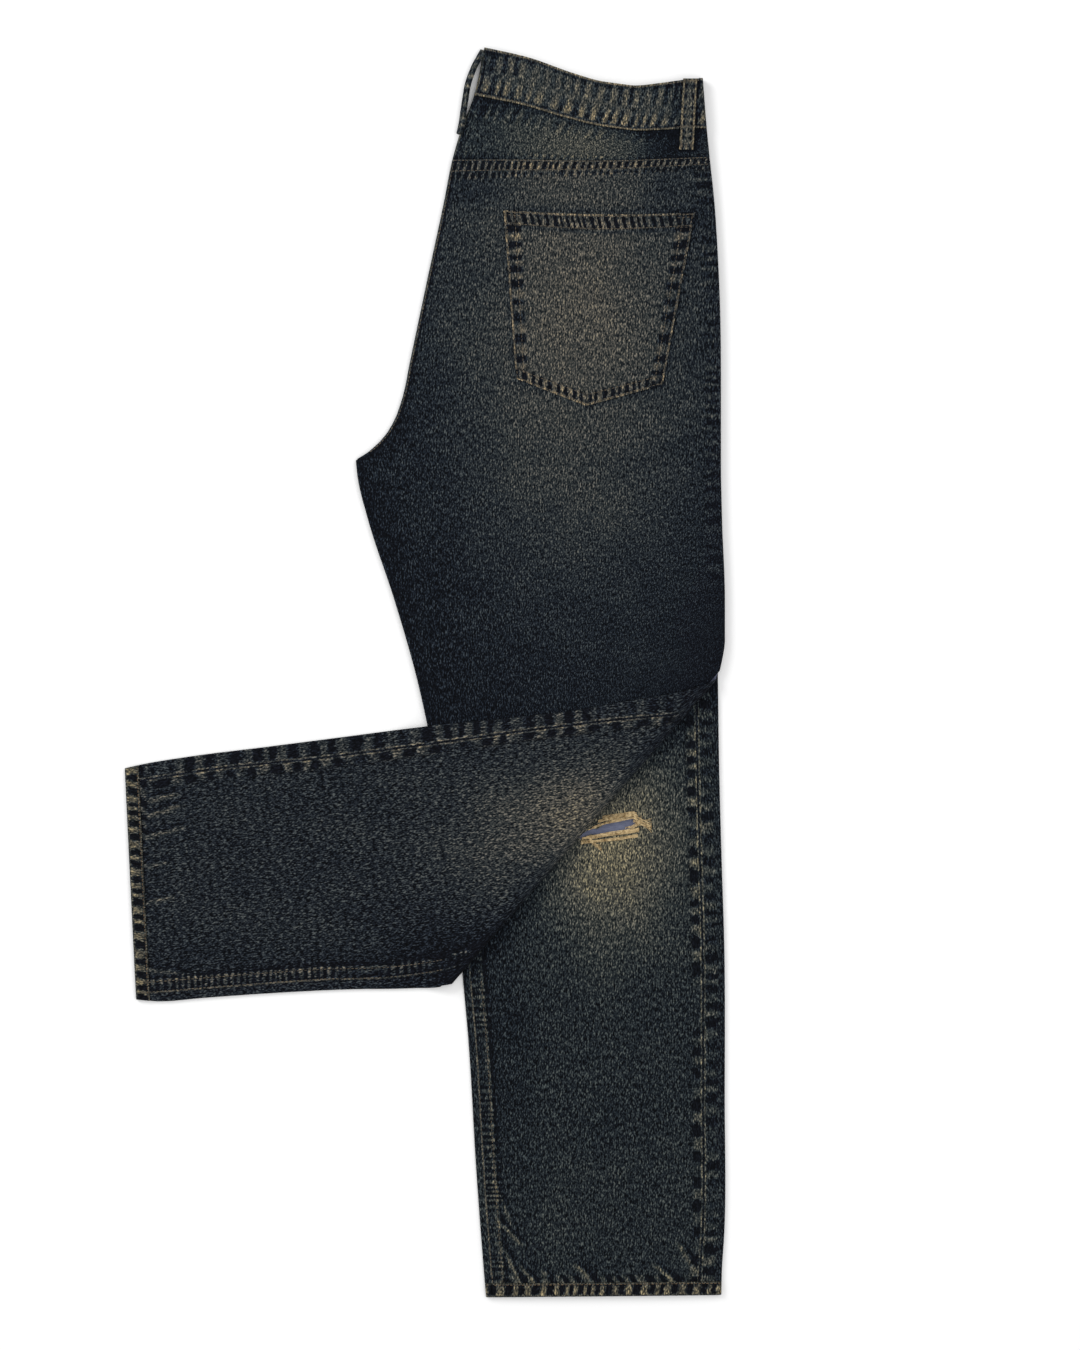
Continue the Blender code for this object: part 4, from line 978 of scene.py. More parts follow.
def make_lower_hem():
    first = HEM_LEFT_Y + HEM_DEPTH
    front, back = [], []
    for share in HEM_SHARES:
        y = first - HEM_DEPTH * share
        ends = lower_ends(y)
        start, end, _ = ends
        length = row_length(start, end)
        marks = np.linspace(INSEAM_IN + SEAM_GAP, length - OUTSEAM_IN - SEAM_GAP, 130)
        xy = between(start, end, marks / length)
        front.append(np.column_stack([xy, leg_top(xy[:, 0], xy[:, 1]) + HEM_TUBE - LOWER_TUBE]))
        runs = (INSEAM_IN - HEM_TUBE / 2, OUTSEAM_IN - HEM_TUBE / 2)
        back.append(under_row(ends, HEM_TUBE, 180.0, runs, 1.0, 30, 8, (4, 12))[0])
    depth = HEM_SHARES[:, None]
    for name, rows, up, rest in (("left_front_hem", front, 1, ["left_back_hem"]),
                                 ("left_back_hem", back, -1, [])):
        rows = np.array(rows)
        patch = Patch(rows, cut_from_rows(rows, -HEM_DEPTH * depth), 52.0, (0, 0, up))
        hem_wear(patch, rows[:, :, 0], depth, 61)
        patch.points[:, :, 2] -= np.where(rows[:, :, 2] > HEM_TUBE / 2, hem_round(depth), 0.0)
        if up < 0:
            low = patch.points[:, :, 2] < HEM_TUBE / 2
            patch.points[:, :, 2] = np.where(low, np.maximum(patch.points[:, :, 2], 0.0),
                                             patch.points[:, :, 2])
        make_cloth(name, [patch], BAND, HEM_DENIM, HEM_DENIM)


# The right leg below the knee, turned back over the thigh
def turned_line(x_top, shares):
    start = np.array([x_top, float(turned_top_y(x_top))])
    x_bottom = float(turned_partner(x_top))
    end = np.array([x_bottom, float(turned_bottom_y(x_bottom))])
    return start + np.outer(shares, end - start), float(np.linalg.norm(end - start))


def seam_shares(x_top):
    """Where a row across the turned leg meets its outseam and its inseam."""
    shares = np.linspace(0.0, 1.0, 1600)
    xy, _ = turned_line(x_top, shares)
    above = xy[:, 1] - turned_outseam_y(xy[:, 0])
    below = xy[:, 1] - turned_inseam_y(xy[:, 0])
    return (float(np.interp(0.0, -above[:800], shares[:800])),
            float(np.interp(0.0, -below[800:], shares[800:])))


def turned_shares(x_top, front_columns, gap=SEAM_GAP / 2):
    """Shares along one row: the outseam strip, the front panel, and the inseam strip."""
    _, length = turned_line(x_top, [0.0])
    outseam, inseam = seam_shares(x_top)
    low, high = outseam * length + gap, inseam * length - gap
    fell = np.concatenate([[0, 0.5, 1.0, 1.5, 2.1], np.linspace(2.9, 10.3, 11),
                           [11.0, 11.5, 12.0, 12.5, 13.1, 14.0]])
    front = np.concatenate([(low + NEAR_SEAM)[::-1], np.linspace(low + 6.5, high - 16.0, front_columns),
                            (high - fell)[::-1]]) / length
    return outseam - gap / length, front, inseam + gap / length, length


def turned_rows(marks, tube, front_columns, top_of, steps=8):
    """Rows of the front panel, and of the back panel from one seam round the underside to the other."""
    front, back = [], []
    for x_top in marks:
        low, middle, high, length = turned_shares(x_top, front_columns)
        xy, _ = turned_line(x_top, middle)
        front.append(np.column_stack([xy, top_of(xy[:, 0], xy[:, 1])]))
        radius = tube / 2.0
        angles = np.linspace(math.pi, 0.0, steps)
        roll = radius - radius * np.sin(angles)
        inner = np.linspace(12.0, length - 12.0, 26)
        down, up = (np.linspace(0, 1, count) for count in STRIP_COLUMNS)
        last = length - radius
        where = np.concatenate([low * length + (radius - low * length) * down**1.6, roll[1:], inner,
                                length - roll[::-1][:-1],
                                last + (high * length - length + radius) * (1.0 - (1.0 - up) ** 1.6)])
        xy, _ = turned_line(x_top, where / length)
        floor = under_turned(xy[:, 0], xy[:, 1])
        z = floor.copy()
        top = top_of(xy[:, 0], xy[:, 1])
        a, b = STRIP_COLUMNS[0] - 1, STRIP_COLUMNS[0] - 1 + steps
        rise = (1.0 - np.cos(angles)) / 2.0
        z[:a] = top[:a]
        z[a:b] = floor[b] + rise * (top[a] - floor[b])
        c = len(z) - STRIP_COLUMNS[1] + 1
        z[c - steps:c] = floor[c - steps] + rise[::-1] * (top[c - 1] - floor[c - steps])
        z[c:] = top[c:]
        back.append(np.column_stack([xy, z]))
    return np.array(front), np.array(back)


def roll_round_fold(first, deepest=None):
    """Rows from the first flat row back round the slanting fold, and on under the thigh."""
    low = LOWER_TUBE + LAYER_GAP
    in_at = from_fold(first[:, 0], first[:, 1])
    along = (first[:, 0] - FOLD_SIDE[0]) * FOLD_ALONG[0] + (first[:, 1] - FOLD_SIDE[1]) * FOLD_ALONG[1]
    fold_length = float(np.linalg.norm(FOLD_INSEAM - FOLD_SIDE))
    level = (along - ROLL_BEGINS) * fold_length / (ROLL_ENDS - ROLL_BEGINS)
    slope = (along - level) / np.maximum(in_at, 1.0)
    radius = (first[:, 2] - low) / 2.0
    rows = []
    if deepest is not None:
        for depth in np.linspace(deepest, 7.0, 8):
            xy = FOLD_SIDE + (level - slope * depth)[:, None] * FOLD_ALONG + depth * FOLD_IN
            rows.append(np.column_stack([xy, np.full(len(xy), low)]))
    for angle in np.linspace(math.pi, 0.0, 13):
        inset = radius * (1.0 - math.sin(angle))
        signed = inset * (1.0 if angle < math.pi / 2 else -1.0)
        xy = FOLD_SIDE + (level + slope * signed)[:, None] * FOLD_ALONG + inset[:, None] * FOLD_IN
        rows.append(np.column_stack([xy, low + radius * (1.0 + math.cos(angle))]))
    return np.array(rows)


def turned_cut(rows, rolled):
    """The turned leg's flat cut: its warp runs along the leg, from the hem to the knee."""
    along = rows @ [LEG_WAY[0], LEG_WAY[1], 0.0]
    across = rows @ [-LEG_WAY[1], LEG_WAY[0], 0.0]
    if rolled:
        roll = np.linalg.norm(np.diff(rows, axis=0), axis=2)
        roll = np.concatenate([np.zeros((1, rows.shape[1])), np.cumsum(roll, axis=0)], axis=0)
        left = roll[-1] - roll
        across, along = across[-1] - left * 0.75, along[-1] + left * 0.66
    return np.stack([across, along], axis=-1)


def rolled_patch(rows, first):
    """The cloth round the fold, which ends on the flat patch's first row."""
    rows[-1] = first
    return Patch(rows, turned_cut(rows, True), turned_tone(rows[:, :, 0], rows[:, :, 1]),
                 (-FOLD_IN[0], -FOLD_IN[1], 0.0))


def dressed_turned(rows, up):
    """A patch of the turned leg with its fading, its seams' wear and its creases."""
    x, y = rows[:, :, 0], rows[:, :, 1]
    _, pale = creased(x, y, TURNED_CREASES)
    patch = Patch(rows, turned_cut(rows, False), turned_tone(x, y), (0, 0, up))
    on_top = rows[:, :, 2] > under_turned(x, y) + 1.6
    outseam = np.where(on_top, turned_outseam_y(x) - y, 99.0)
    inseam = np.where(on_top, y - turned_inseam_y(x), 99.0)
    patch.tone = np.where(on_top, patch.tone + pale, 36.0)
    if up > 0:
        outseam_wear(patch, outseam, x, 62)
        above_hem(patch, y, x - TURNED_END - HEM_DEPTH, 67)
        fell_wear(patch, inseam, x, 65)
    else:
        outseam_wear(patch, -outseam, x, 63, 16.0, 15.0, 0.3, 0.8)
    return patch


def make_turned_leg():
    marks = np.concatenate([np.arange(241.0, -238.0, -2.6), np.arange(-239.6, -251.0, -1.0), [-251.7]])
    front, back = turned_rows(marks, TURNED_TUBE, 64, turned_top)
    x, y = front[:, :, 0], front[:, :, 1]
    free = smooth_step((turned_outseam_y(x) - y) / 10.0) * smooth_step((y - fell_top_y(x)) / 10.0)
    lift, _ = creased(x, y, TURNED_CREASES)
    lift = lift + sway(x, y, 15) + 0.5 * sway(x * 2.2, y * 2.2, 16)
    fell = fell_height(y - turned_inseam_y(x))
    rolled_front = roll_round_fold(front[0], 34.0)
    rolled_top = roll_round_fold(back[0, :STRIP_COLUMNS[0]])
    rolled_bottom = roll_round_fold(back[0, -STRIP_COLUMNS[1]:])
    clear = smooth_step((marks[0] - marks) / 16.0)[:, None]
    front[:, :, 2] += clear * free * lift + clear * fell
    flat_patch = dressed_turned(front, 1)
    flat_patch.raise_puckers(0.14)
    patches = [flat_patch, rolled_patch(rolled_front, front[0])]
    make_cloth("right_front_panel", patches, CLOTH, TURNED_DENIM, REVERSE)
    under = [dressed_turned(back, -1), rolled_patch(rolled_top, back[0, :STRIP_COLUMNS[0]]),
             rolled_patch(rolled_bottom, back[0, -STRIP_COLUMNS[1]:])]
    make_cloth("right_back_panel_turned", under, CLOTH, TURNED_DENIM, REVERSE)


def make_turned_hem():
    marks = TURNED_END + HEM_DEPTH * (1.0 - HEM_SHARES)

    def top(x, y):
        return turned_top(x, y) + HEM_TUBE - TURNED_TUBE

    front, back = turned_rows(marks, HEM_TUBE, 104, top, 9)
    depth = HEM_SHARES[:, None]
    for name, rows, up, rest in (("right_front_hem", front, 1, ["right_back_hem"]),
                                 ("right_back_hem", back, -1, ["right_back_panel_turned"])):
        x, y = rows[:, :, 0], rows[:, :, 1]
        patch = Patch(rows, np.stack([y, -x], axis=-1), 52.0, (0, 0, up))
        hem_wear(patch, y, depth, 71, -0.3)
        on_top = rows[:, :, 2] > under_turned(x, y) + HEM_TUBE / 2
        patch.points[:, :, 2] -= np.where(on_top, hem_round(depth), 0.0)
        if up < 0:
            patch.points[:, :, 2] = np.maximum(patch.points[:, :, 2], under_turned(x, y))
        make_cloth(name, [patch], BAND, HEM_DENIM, HEM_DENIM)


# Pocket and belt loops
def pocket_lines():
    corner = {k: np.array(v, float) for k, v in POCKET.items()}

    def mouth(c):
        line = corner["top_left"] + np.outer(c, corner["top_right"] - corner["top_left"])
        line[:, 1] -= POCKET_DIP * 4 * c * (1 - c)
        return line

    def foot(c):
        c = np.asarray(c, float)[:, None]
        left = corner["left"] + (corner["tip"] - corner["left"]) * c * 2
        right = corner["tip"] + (corner["right"] - corner["tip"]) * (c * 2 - 1)
        return np.where(c <= 0.5, left, right)

    depth = float(np.linalg.norm(corner["left"] - corner["top_left"]))
    return mouth, foot, depth


def pocket_point(c, s):
    mouth, foot, _ = pocket_lines()
    c, s = np.broadcast_arrays(np.atleast_1d(np.asarray(c, float)), np.atleast_1d(np.asarray(s, float)))
    return mouth(c) + (foot(c) - mouth(c)) * s[:, None]


def make_pocket():
    mouth, foot, depth = pocket_lines()
    width = POCKET_WIDTH
    near = np.array([0.0, 0.4, 0.9, 1.8, 3.0])
    c = np.concatenate([near / width, np.linspace(5.0, width - 5.0, 92) / width, 1 - near[::-1] / width])
    c = np.sort(np.append(c[np.abs(c - 0.5) > 0.004], [0.5]))
    s = np.concatenate([near / depth, np.linspace(4.2, 13.8, 9) / depth,
                        np.linspace(16.0, depth - 5.0, 70) / depth,
                        1 - near[::-1] / depth])
    rows = np.array([np.column_stack([mouth(c) + (foot(c) - mouth(c)) * k, np.zeros(len(c))]) for k in s])
    x, y = rows[:, :, 0], rows[:, :, 1]
    from_mouth = s[:, None] * depth * np.ones_like(x)
    from_foot = (1 - s[:, None]) * depth * 0.97 * np.ones_like(x)
    from_side = np.minimum(c, 1 - c)[None, :] * width * np.ones_like(x)
    edge = np.minimum(np.minimum(from_mouth, from_foot), from_side)
    hem = smooth_step((POCKET_HEM + 0.4 - from_mouth) / 1.4)
    rows[:, :, 2] = body_top(x, y) + LAYER_GAP + CLOTH + RIDGE * hem - 0.34 * (1 - smooth_step(edge / 1.6))
    inner = smooth_step((edge - 6.0) / 8.0)
    rows[:, :, 2] += inner * (sway(x, y, 17) + 0.15)
    patch = Patch(rows, cut_from_rows(rows, y), thigh_tone(x, y) + 2.0, (0, 0, 1))
    patch.tone += 36.0 * bell(edge, 0.7, 0.8) - 12.0 * bell(edge, 3.0, 1.4)
    patch.tone -= 20.0 * bell(from_mouth, 13.4, 0.9) + 8.0 * window(from_side, 2.0, 10.0, 4.0)
    for distance, at, pale in ((from_mouth, 11.2, 14.0), (from_foot, 9.4, 12.0), (from_side, 8.6, 10.0)):
        patch.tone += pale * bell(distance, at, 0.8)
    mouth_phase = pucker_phase(6.4, 81)(x + 0.25 * y)
    foot_phase = pucker_phase(6.4, 82)(x * np.sign(x - POCKET["tip"][0]) * 0.97)
    side_phase = pucker_phase(14.0, 83)(y)
    patch.pucker(mouth_phase, window(from_mouth, 1.0, 11.6, 2.0) * uneven(84, 14.0, 0.6)(x), 0.2, 1.2)
    patch.pucker(foot_phase, window(from_foot, 1.0, 9.0, 2.5) * uneven(85, 12.0, 0.45)(x), 0.35, 1.2)
    patch.pucker(side_phase, window(from_side, 1.2, 12.5, 4.0) * uneven(86, 15.0, 0.25)(y), 0.45, 1.2)
    patch.raise_puckers(0.14)
    make_cloth("right_back_pocket", [patch], CLOTH, BACK_DENIM, REVERSE,
               straight=True)


def make_side_loop():
    line = np.array(SIDE_LOOP, float)
    along = np.linspace(0.0, 1.0, 54)
    middle, height = (through(list(zip((0.0, 0.5, 1.0), line[:, k]))) for k in (0, 1))
    half = np.array([0.1, 0.28, 0.45, 0.62, 0.78, 0.9, 0.97, 1.0])
    offsets = LOOP_WIDTH / 2 * np.concatenate([-half[::-1], half])
    rows = []
    for s in along:
        x, y = middle(s) + offsets, np.full(len(offsets), height(s))
        on_band = smooth_step((y - 466.0) / 14.0)
        low = on_band * band_top(x, y) + (1 - on_band) * body_top(x, y) + LAYER_GAP + 0.3 * on_band
        rows.append(np.column_stack([x, y, low + LOOP_PLY]))
    rows = np.array(rows)
    edge = LOOP_WIDTH / 2 - np.abs(offsets)[None, :] * np.ones((len(along), 1))
    ends = np.minimum(along, 1 - along)[:, None] * (line[0, 1] - line[2, 1])
    rows[:, :, 2] += 0.25 * bell(edge, 1.6, 0.9) - 0.25 * (1 - smooth_step(np.minimum(edge, ends) / 1.3))
    patch = Patch(rows, cut_from_rows(rows, rows[:, :1, 1]), 50.0, (0, 0, 1))
    patch.tone = 58.0 + 42.0 * bell(edge, 0.9, 0.8) - 26.0 * bell(edge, 2.7, 0.8) + 8.0 * bell(edge, 6.2, 1.8)
    patch.tone = patch.tone - 12.0 * bell(ends, 4.5, 1.6) + 12.0 * bell(ends, 1.4, 1.0)
    y = rows[:, :, 1]
    patch.pucker(pucker_phase(8.0, 91)(y), window(edge, 1.6, 4.4, 1.6) * 0.6, 0.5, 0.7)
    patch.raise_puckers(0.1)
    make_cloth("side_belt_loop", [patch], LOOP_PLY, BAND_DENIM, BAND_DENIM,
               straight=True)


def make_centre_loop():
    """The loop at the centre back, seen on edge where it stands off the folded waistband."""
    line = np.array(CENTRE_LOOP, float)
    keys = np.linspace(0.0, 1.0, len(line))
    share = np.linspace(0.0, 1.0, 46)
    outer = np.column_stack([through(list(zip(keys, line[:, k])))(share) for k in (0, 1)])
    way = np.gradient(outer, axis=0)
    way /= np.linalg.norm(way, axis=1)[:, None]
    out = np.column_stack([way[:, 1], -way[:, 0]])
    out *= np.sign(-out[:, :1])
    half = LOOP_WIDTH / 2 - 0.8
    rows = []
    for angle in np.linspace(-1.0, 1.0, 15):
        bulge = 1.4 * (1.0 - angle * angle) - 1.4 - 0.5 * max(0.0, abs(angle) - 0.86) / 0.14
        lean = 2.3 * smooth_step((angle + 0.2) / 1.2)
        rows.append(np.column_stack([outer + out * (bulge - lean),
                                     np.full(len(outer), 0.2 + half + half * angle)]))
    rows = np.array(rows)
    patch = Patch(rows, np.stack([rows[:, :, 2], rows[:, :, 1]], axis=-1), 48.0, (-1, 0, 0))
    patch.tone = 40.0 + 20.0 * bell(np.linspace(-1, 1, 15)[:, None], 0.8, 0.2) * np.ones(len(outer))
    patch.pucker(pucker_phase(8.0, 95)(rows[:, :, 1]), np.full(rows.shape[:2], 0.25), 0.8, 0.8)
    make_cloth("centre_belt_loop", [patch], CENTRE_LOOP_PLY, BAND_DENIM, BAND_DENIM)


# What the top layer covers, finished plainly
def make_lower_yoke_and_band():
    for name, heights, thick, slot, material in (
            ("left_back_yoke", np.linspace(BAND_Y - SEAM_GAP, YOKE_Y + SEAM_GAP, 16), CLOTH, "denim_inside",
             BACK_DENIM),
            ("left_back_waistband", np.linspace(WAIST_Y, BAND_Y, 16), BAND, "denim_worn", BAND_DENIM)):
        rows = []
        for y in heights:
            stop = (BAND_SPLIT if thick == BAND else tube_stop(y)) - LAYER_GAP / 2
            ends = lower_ends(float(y))
            rows.append(under_row(ends, stop, 90.0, (1.2, 1.2), 0.0, 40, 7, (2, 2))[0])
        rows = np.array(rows)
        patch = Patch(rows, cut_from_rows(rows, heights[:, None]), 42.0, (0, 0, -1))
        make_cloth(name, [patch], thick, material, REVERSE if thick == CLOTH else material)


def make_front_bands():
    for name, low, high in (("left_front_waistband", BAND + LAYER_GAP, BAND_SPLIT - LAYER_GAP),
                            ("right_front_waistband", BAND_SPLIT + LAYER_GAP, None)):
        rows = []
        for y in np.linspace(WAIST_Y - 3.0, BAND_Y + 1.5, 14):
            start, end, bow = upper_ends(float(y))
            share = np.linspace(0.09, 0.972, 60)
            xy = between(start, end, share, bow)
            xy[:, 1] -= 34.0 * (1.0 - share) ** 1.5 * (y - BAND_Y) / (WAIST_Y - BAND_Y)
            top = band_top(xy[:, 0], xy[:, 1]) - BAND - LAYER_GAP if high is None else np.full(len(xy), high)
            rows.append(np.column_stack([xy, top]))
        rows = np.array(rows)
        patch = Patch(rows, rows[:, :, :2].copy(), 44.0, (0, 0, 1))
        patch.pucker(pucker_phase(9.0, 97)(rows[:, :, 0]), np.full(rows.shape[:2], 0.5), 0.7, 0.7)
        make_cloth(name, [patch], [rows[:, :, 2] - low], BAND_DENIM, BAND_DENIM,
                   straight=True)


def make_hidden_fronts():
    rows = []
    for y in np.concatenate([np.linspace(BAND_Y - 2.0, CROTCH_Y, 40), np.linspace(180.0, -197.0, 44)]):
        y_right = float(through(LOWER_ROWS)(y))
        start, end = (float(left_x(y)), y), (float(lower_side_x(y_right)), y_right)
        length = row_length(start, end)
        marks = np.concatenate([[12.0, 13.5, 16.0, 20.0], np.linspace(28.0, length - 40.0, 34),
                                [length - 32.0, length - 28.0, length - 26.0]])
        xy = between(start, end, marks / length, float(dip_depth(y)))
        rows.append(np.column_stack([xy, body_top(xy[:, 0], xy[:, 1]) - CLOTH - LAYER_GAP]))
    rows = np.array(rows)
    patch = Patch(rows, rows[:, :, :2].copy(), 40.0, (0, 0, 1))
    make_cloth("hidden_layers", [patch], [rows[:, :, 2] - CLOTH - LAYER_GAP], BACK_DENIM, BACK_DENIM,
               straight=True)


# Lines of stitches, laid on whatever cloth is on top there
def cloth_from_above(names):
    """What a ray straight down meets first, over the named pieces' cloth."""
    corners, polygons = [], []
    for piece in (pieces[name] for name in names):
        first = len(corners)
        corners.extend(v.co for v in piece.data.vertices)
        polygons.extend([first + v for v in p.vertices] for p in piece.data.polygons)
    return BVHTree.FromPolygons([tuple(c) for c in corners], polygons)


def laid_on(tree, xy, rise):
    points = []
    for x, y in xy:
        hit = tree.ray_cast(Vector((x * MM, y * MM, 0.05)), Vector((0, 0, -1)))[0]
        if hit is not None:
            points.append((x, y, hit.z / MM + rise))
    return np.array(points)


def walked(points, pitch):
    """Points at an even pitch along a line."""
    points = np.asarray(points, float)
    step = np.hypot(*np.diff(points, axis=0).T)
    run = np.concatenate([[0.0], np.cumsum(step)])
    at = np.arange(0.0, run[-1], pitch)
    return np.column_stack([np.interp(at, run, points[:, k]) for k in (0, 1)])


def stitch_lines():
    """The stitched lines that show: the topstitching, and the hems' gold thread."""
    lines = []

    def row(y, low, high, rows=upper_ends):
        start, end, bow = rows(y)
        length = row_length(start, end)
        return between(start, end, np.linspace(low, length - high, 90) / length, bow)

    for y in (547.2, 508.9, YOKE_Y - 1.3, YOKE_Y - 10.8):
        lines.append(row(y, 3.0, 3.0))
    heights = np.linspace(446.0, 194.0, 120)
    lines.append(np.column_stack([seat_x(heights) + 2.0, heights]))
    c = np.linspace(0.0, 1.0, 80)
    for side in (1.6 / POCKET_WIDTH, 8.6 / POCKET_WIDTH):
        lines.append(pocket_point(np.full(80, side), np.linspace(0.012, 1 - side * 0.9, 80)))
        lines.append(pocket_point(np.full(80, 1 - side), np.linspace(0.012, 1 - side * 0.9, 80)))
        inset = c * (1 - 2 * side) + side
        lines.append(pocket_point(inset, 1 - side))
    for s in (1.6, 11.2):
        lines.append(pocket_point(c * 0.98 + 0.01, s / POCKET_WIDTH))
    for left in (True, False):
        for up in (4.0, 12.5):
            span = np.linspace(1.2, 13.0, 12) / POCKET_WIDTH
            lines.append(pocket_point(span if left else 1 - span, up / POCKET_WIDTH))
    heights = np.linspace(-272.0, -535.0, 120)
    for inset in (INSEAM_IN + 1.6, INSEAM_IN + 10.6):
        lines.append(np.column_stack([inseam_x(heights) + inset, heights]))
    x = np.linspace(14.0, -250.0, 120)
    for rise in (1.5, 10.2):
        lines.append(np.column_stack([x, turned_inseam_y(x) + rise]))
    shares = np.linspace(0.012, 0.988, 100)
    hems = [row(HEM_LEFT_Y + HEM_DEPTH - 1.3, 2.0, 2.0, lower_ends),
            turned_line(TURNED_END + HEM_DEPTH - 1.3, shares)[0]]
    heights = np.linspace(519.5, 460.5, 40)
    for side in (-4.6, 4.6):
        loop = by_height(SIDE_LOOP)(heights)
        lines.append(np.column_stack([loop + side, heights]))
    for y in (461.2, 462.4, 463.6, 519.0, 517.8):
        x = np.linspace(-4.6, 4.6, 12) + 229.6 + (y - 460) * 0.05
        lines.append(np.column_stack([x, np.full(12, y)]))
    return lines, hems


def node_inputs(tree, sizes):
    """Named inputs on a geometry tree, each as its socket's identifier and the value used, in metres."""
    made = []
    for name, value in sizes.items():
        kind = "NodeSocketInt" if isinstance(value, int) else "NodeSocketFloat"
        made.append((tree.interface.new_socket(name, in_out="INPUT", socket_type=kind).identifier, value))
    return made


def grown_piece(name, lines, build, sizes, material):
    """A geometry tree over poly-lines, made into a plain mesh."""
    corners, edges = [], []
    for line in lines:
        first = len(corners)
        corners.extend((np.asarray(line) * MM).tolist())
        edges.extend((first + k, first + k + 1) for k in range(len(line) - 1))
    guide = bpy.data.meshes.new(name + "_guide")
    guide.from_pydata(corners, edges, [])
    guide_object = new_object(name + "_guide", guide)
    tree = bpy.data.node_groups.new(name, "GeometryNodeTree")
    tree.is_modifier = True
    tree.interface.new_socket("Geometry", in_out="INPUT", socket_type="NodeSocketGeometry")
    tree.interface.new_socket("Geometry", in_out="OUTPUT", socket_type="NodeSocketGeometry")
    values = node_inputs(tree, sizes)
    source = add(tree, "NodeGroupInput")
    solid = build(tree, source)
    real = add(tree, "GeometryNodeRealizeInstances", inputs={"Geometry": solid})
    dyed = add(tree, "GeometryNodeSetMaterial", inputs={"Geometry": real.outputs[0], "Material": material})
    add(tree, "NodeGroupOutput", inputs={"Geometry": dyed.outputs[0]})
    modifier = guide_object.modifiers.new(name, "NODES")
    modifier.node_group = tree
    for identifier, value in values:
        modifier[identifier] = value
    bpy.context.view_layer.update()
    grown = guide_object.evaluated_get(bpy.context.evaluated_depsgraph_get())
    mesh = bpy.data.meshes.new_from_object(grown)
    mesh.name = name
    mesh.shade_smooth()
    guide_object.modifiers.remove(modifier)
    bpy.data.objects.remove(guide_object)
    if not mesh.materials:
        mesh.materials.append(material)
    return new_object(name, mesh)


def stitches_tree(tree, source):
    """Single stitches: a drawn-out bead at each pitch along the line."""
    curve = add(tree, "GeometryNodeMeshToCurve", inputs={"Mesh": source.outputs["Geometry"]})
    spaced = add(tree, "GeometryNodeResampleCurve", {"mode": "LENGTH"}, {
        "Curve": curve.outputs[0], "Length": source.outputs["Stitch pitch"]})
    bead = add(tree, "GeometryNodeMeshUVSphere", inputs={
        "Segments": 6, "Rings": 4, "Radius": source.outputs["Thread radius"]})
    tangent = add(tree, "GeometryNodeInputTangent")
    turned = add(tree, "FunctionNodeAlignRotationToVector", {"axis": "X"}, {"Vector": tangent.outputs[0]})
    long = add(tree, "ShaderNodeMath", {"operation": "DIVIDE"}, {
        0: source.outputs["Stitch length"], 1: source.outputs["Thread radius"]})
    half = add(tree, "ShaderNodeMath", {"operation": "MULTIPLY"}, {0: long.outputs[0], 1: 0.5})
    size = add(tree, "ShaderNodeCombineXYZ", inputs={"X": half.outputs[0], "Y": 1.0, "Z": 1.0})
    placed = add(tree, "GeometryNodeInstanceOnPoints", inputs={
        "Points": spaced.outputs[0], "Instance": bead.outputs[0], "Rotation": turned.outputs[0],
        "Scale": size.outputs[0]})
    return placed.outputs[0]


def make_stitches(ground):
    sizes = {"Stitch pitch": 0.0034, "Stitch length": 0.0028, "Thread radius": 0.00036}
    top, hems = stitch_lines()
    for name, lines, material in (("topstitching", top, THREAD), ("hem_stitching", hems, HEM_THREAD)):
        lines = [laid_on(ground, walked(points, 1.7), 0.12) for points in lines]
        made = grown_piece(name, [line for line in lines if len(line) > 2], stitches_tree, sizes, material)
        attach(made, "root")


# The frayed weft threads that cross the rip at the knee
def strand(points, rng, spread, stray):
    """One thread along a guide: it starts and ends a little apart from it and wavers between."""
    points = np.array(points, float)
    t = np.linspace(0, 1, 16)
    keys = np.linspace(0, 1, len(points))
    x, y = through(list(zip(keys, points[:, 0])))(t), through(list(zip(keys, points[:, 1])))(t)
    shift = rng.normal(0, spread) + rng.normal(0, stray) * (t - 0.5) * 2
    wave = rng.uniform(0.2, 0.6) * np.sin(rng.uniform(3, 9) * t + rng.uniform(0, 6.3))
    lift = 1.2 * np.sin(math.pi * t) * rng.uniform(0.1, 1.0)
    return np.column_stack([x, y + shift + wave, lift])


def frayed_tree(tree, source):
    curve = add(tree, "GeometryNodeMeshToCurve", inputs={"Mesh": source.outputs["Geometry"]})
    fuzz_seed = add(tree, "FunctionNodeRandomValue", {"data_type": "FLOAT_VECTOR"}, {
        "Min": (-0.00022, -0.00022, -0.00012), "Max": (0.00022, 0.00022, 0.00022),
        "Seed": source.outputs["Seed"]})
    loose = add(tree, "GeometryNodeSetPosition", inputs={
        "Geometry": curve.outputs[0], "Offset": fuzz_seed.outputs["Value"]})
    ring = add(tree, "GeometryNodeCurvePrimitiveCircle", inputs={
        "Resolution": 5, "Radius": source.outputs["Thread radius"]})
    tube = add(tree, "GeometryNodeCurveToMesh", inputs={
        "Curve": loose.outputs[0], "Profile Curve": ring.outputs[0], "Fill Caps": True})
    return tube.outputs[0]


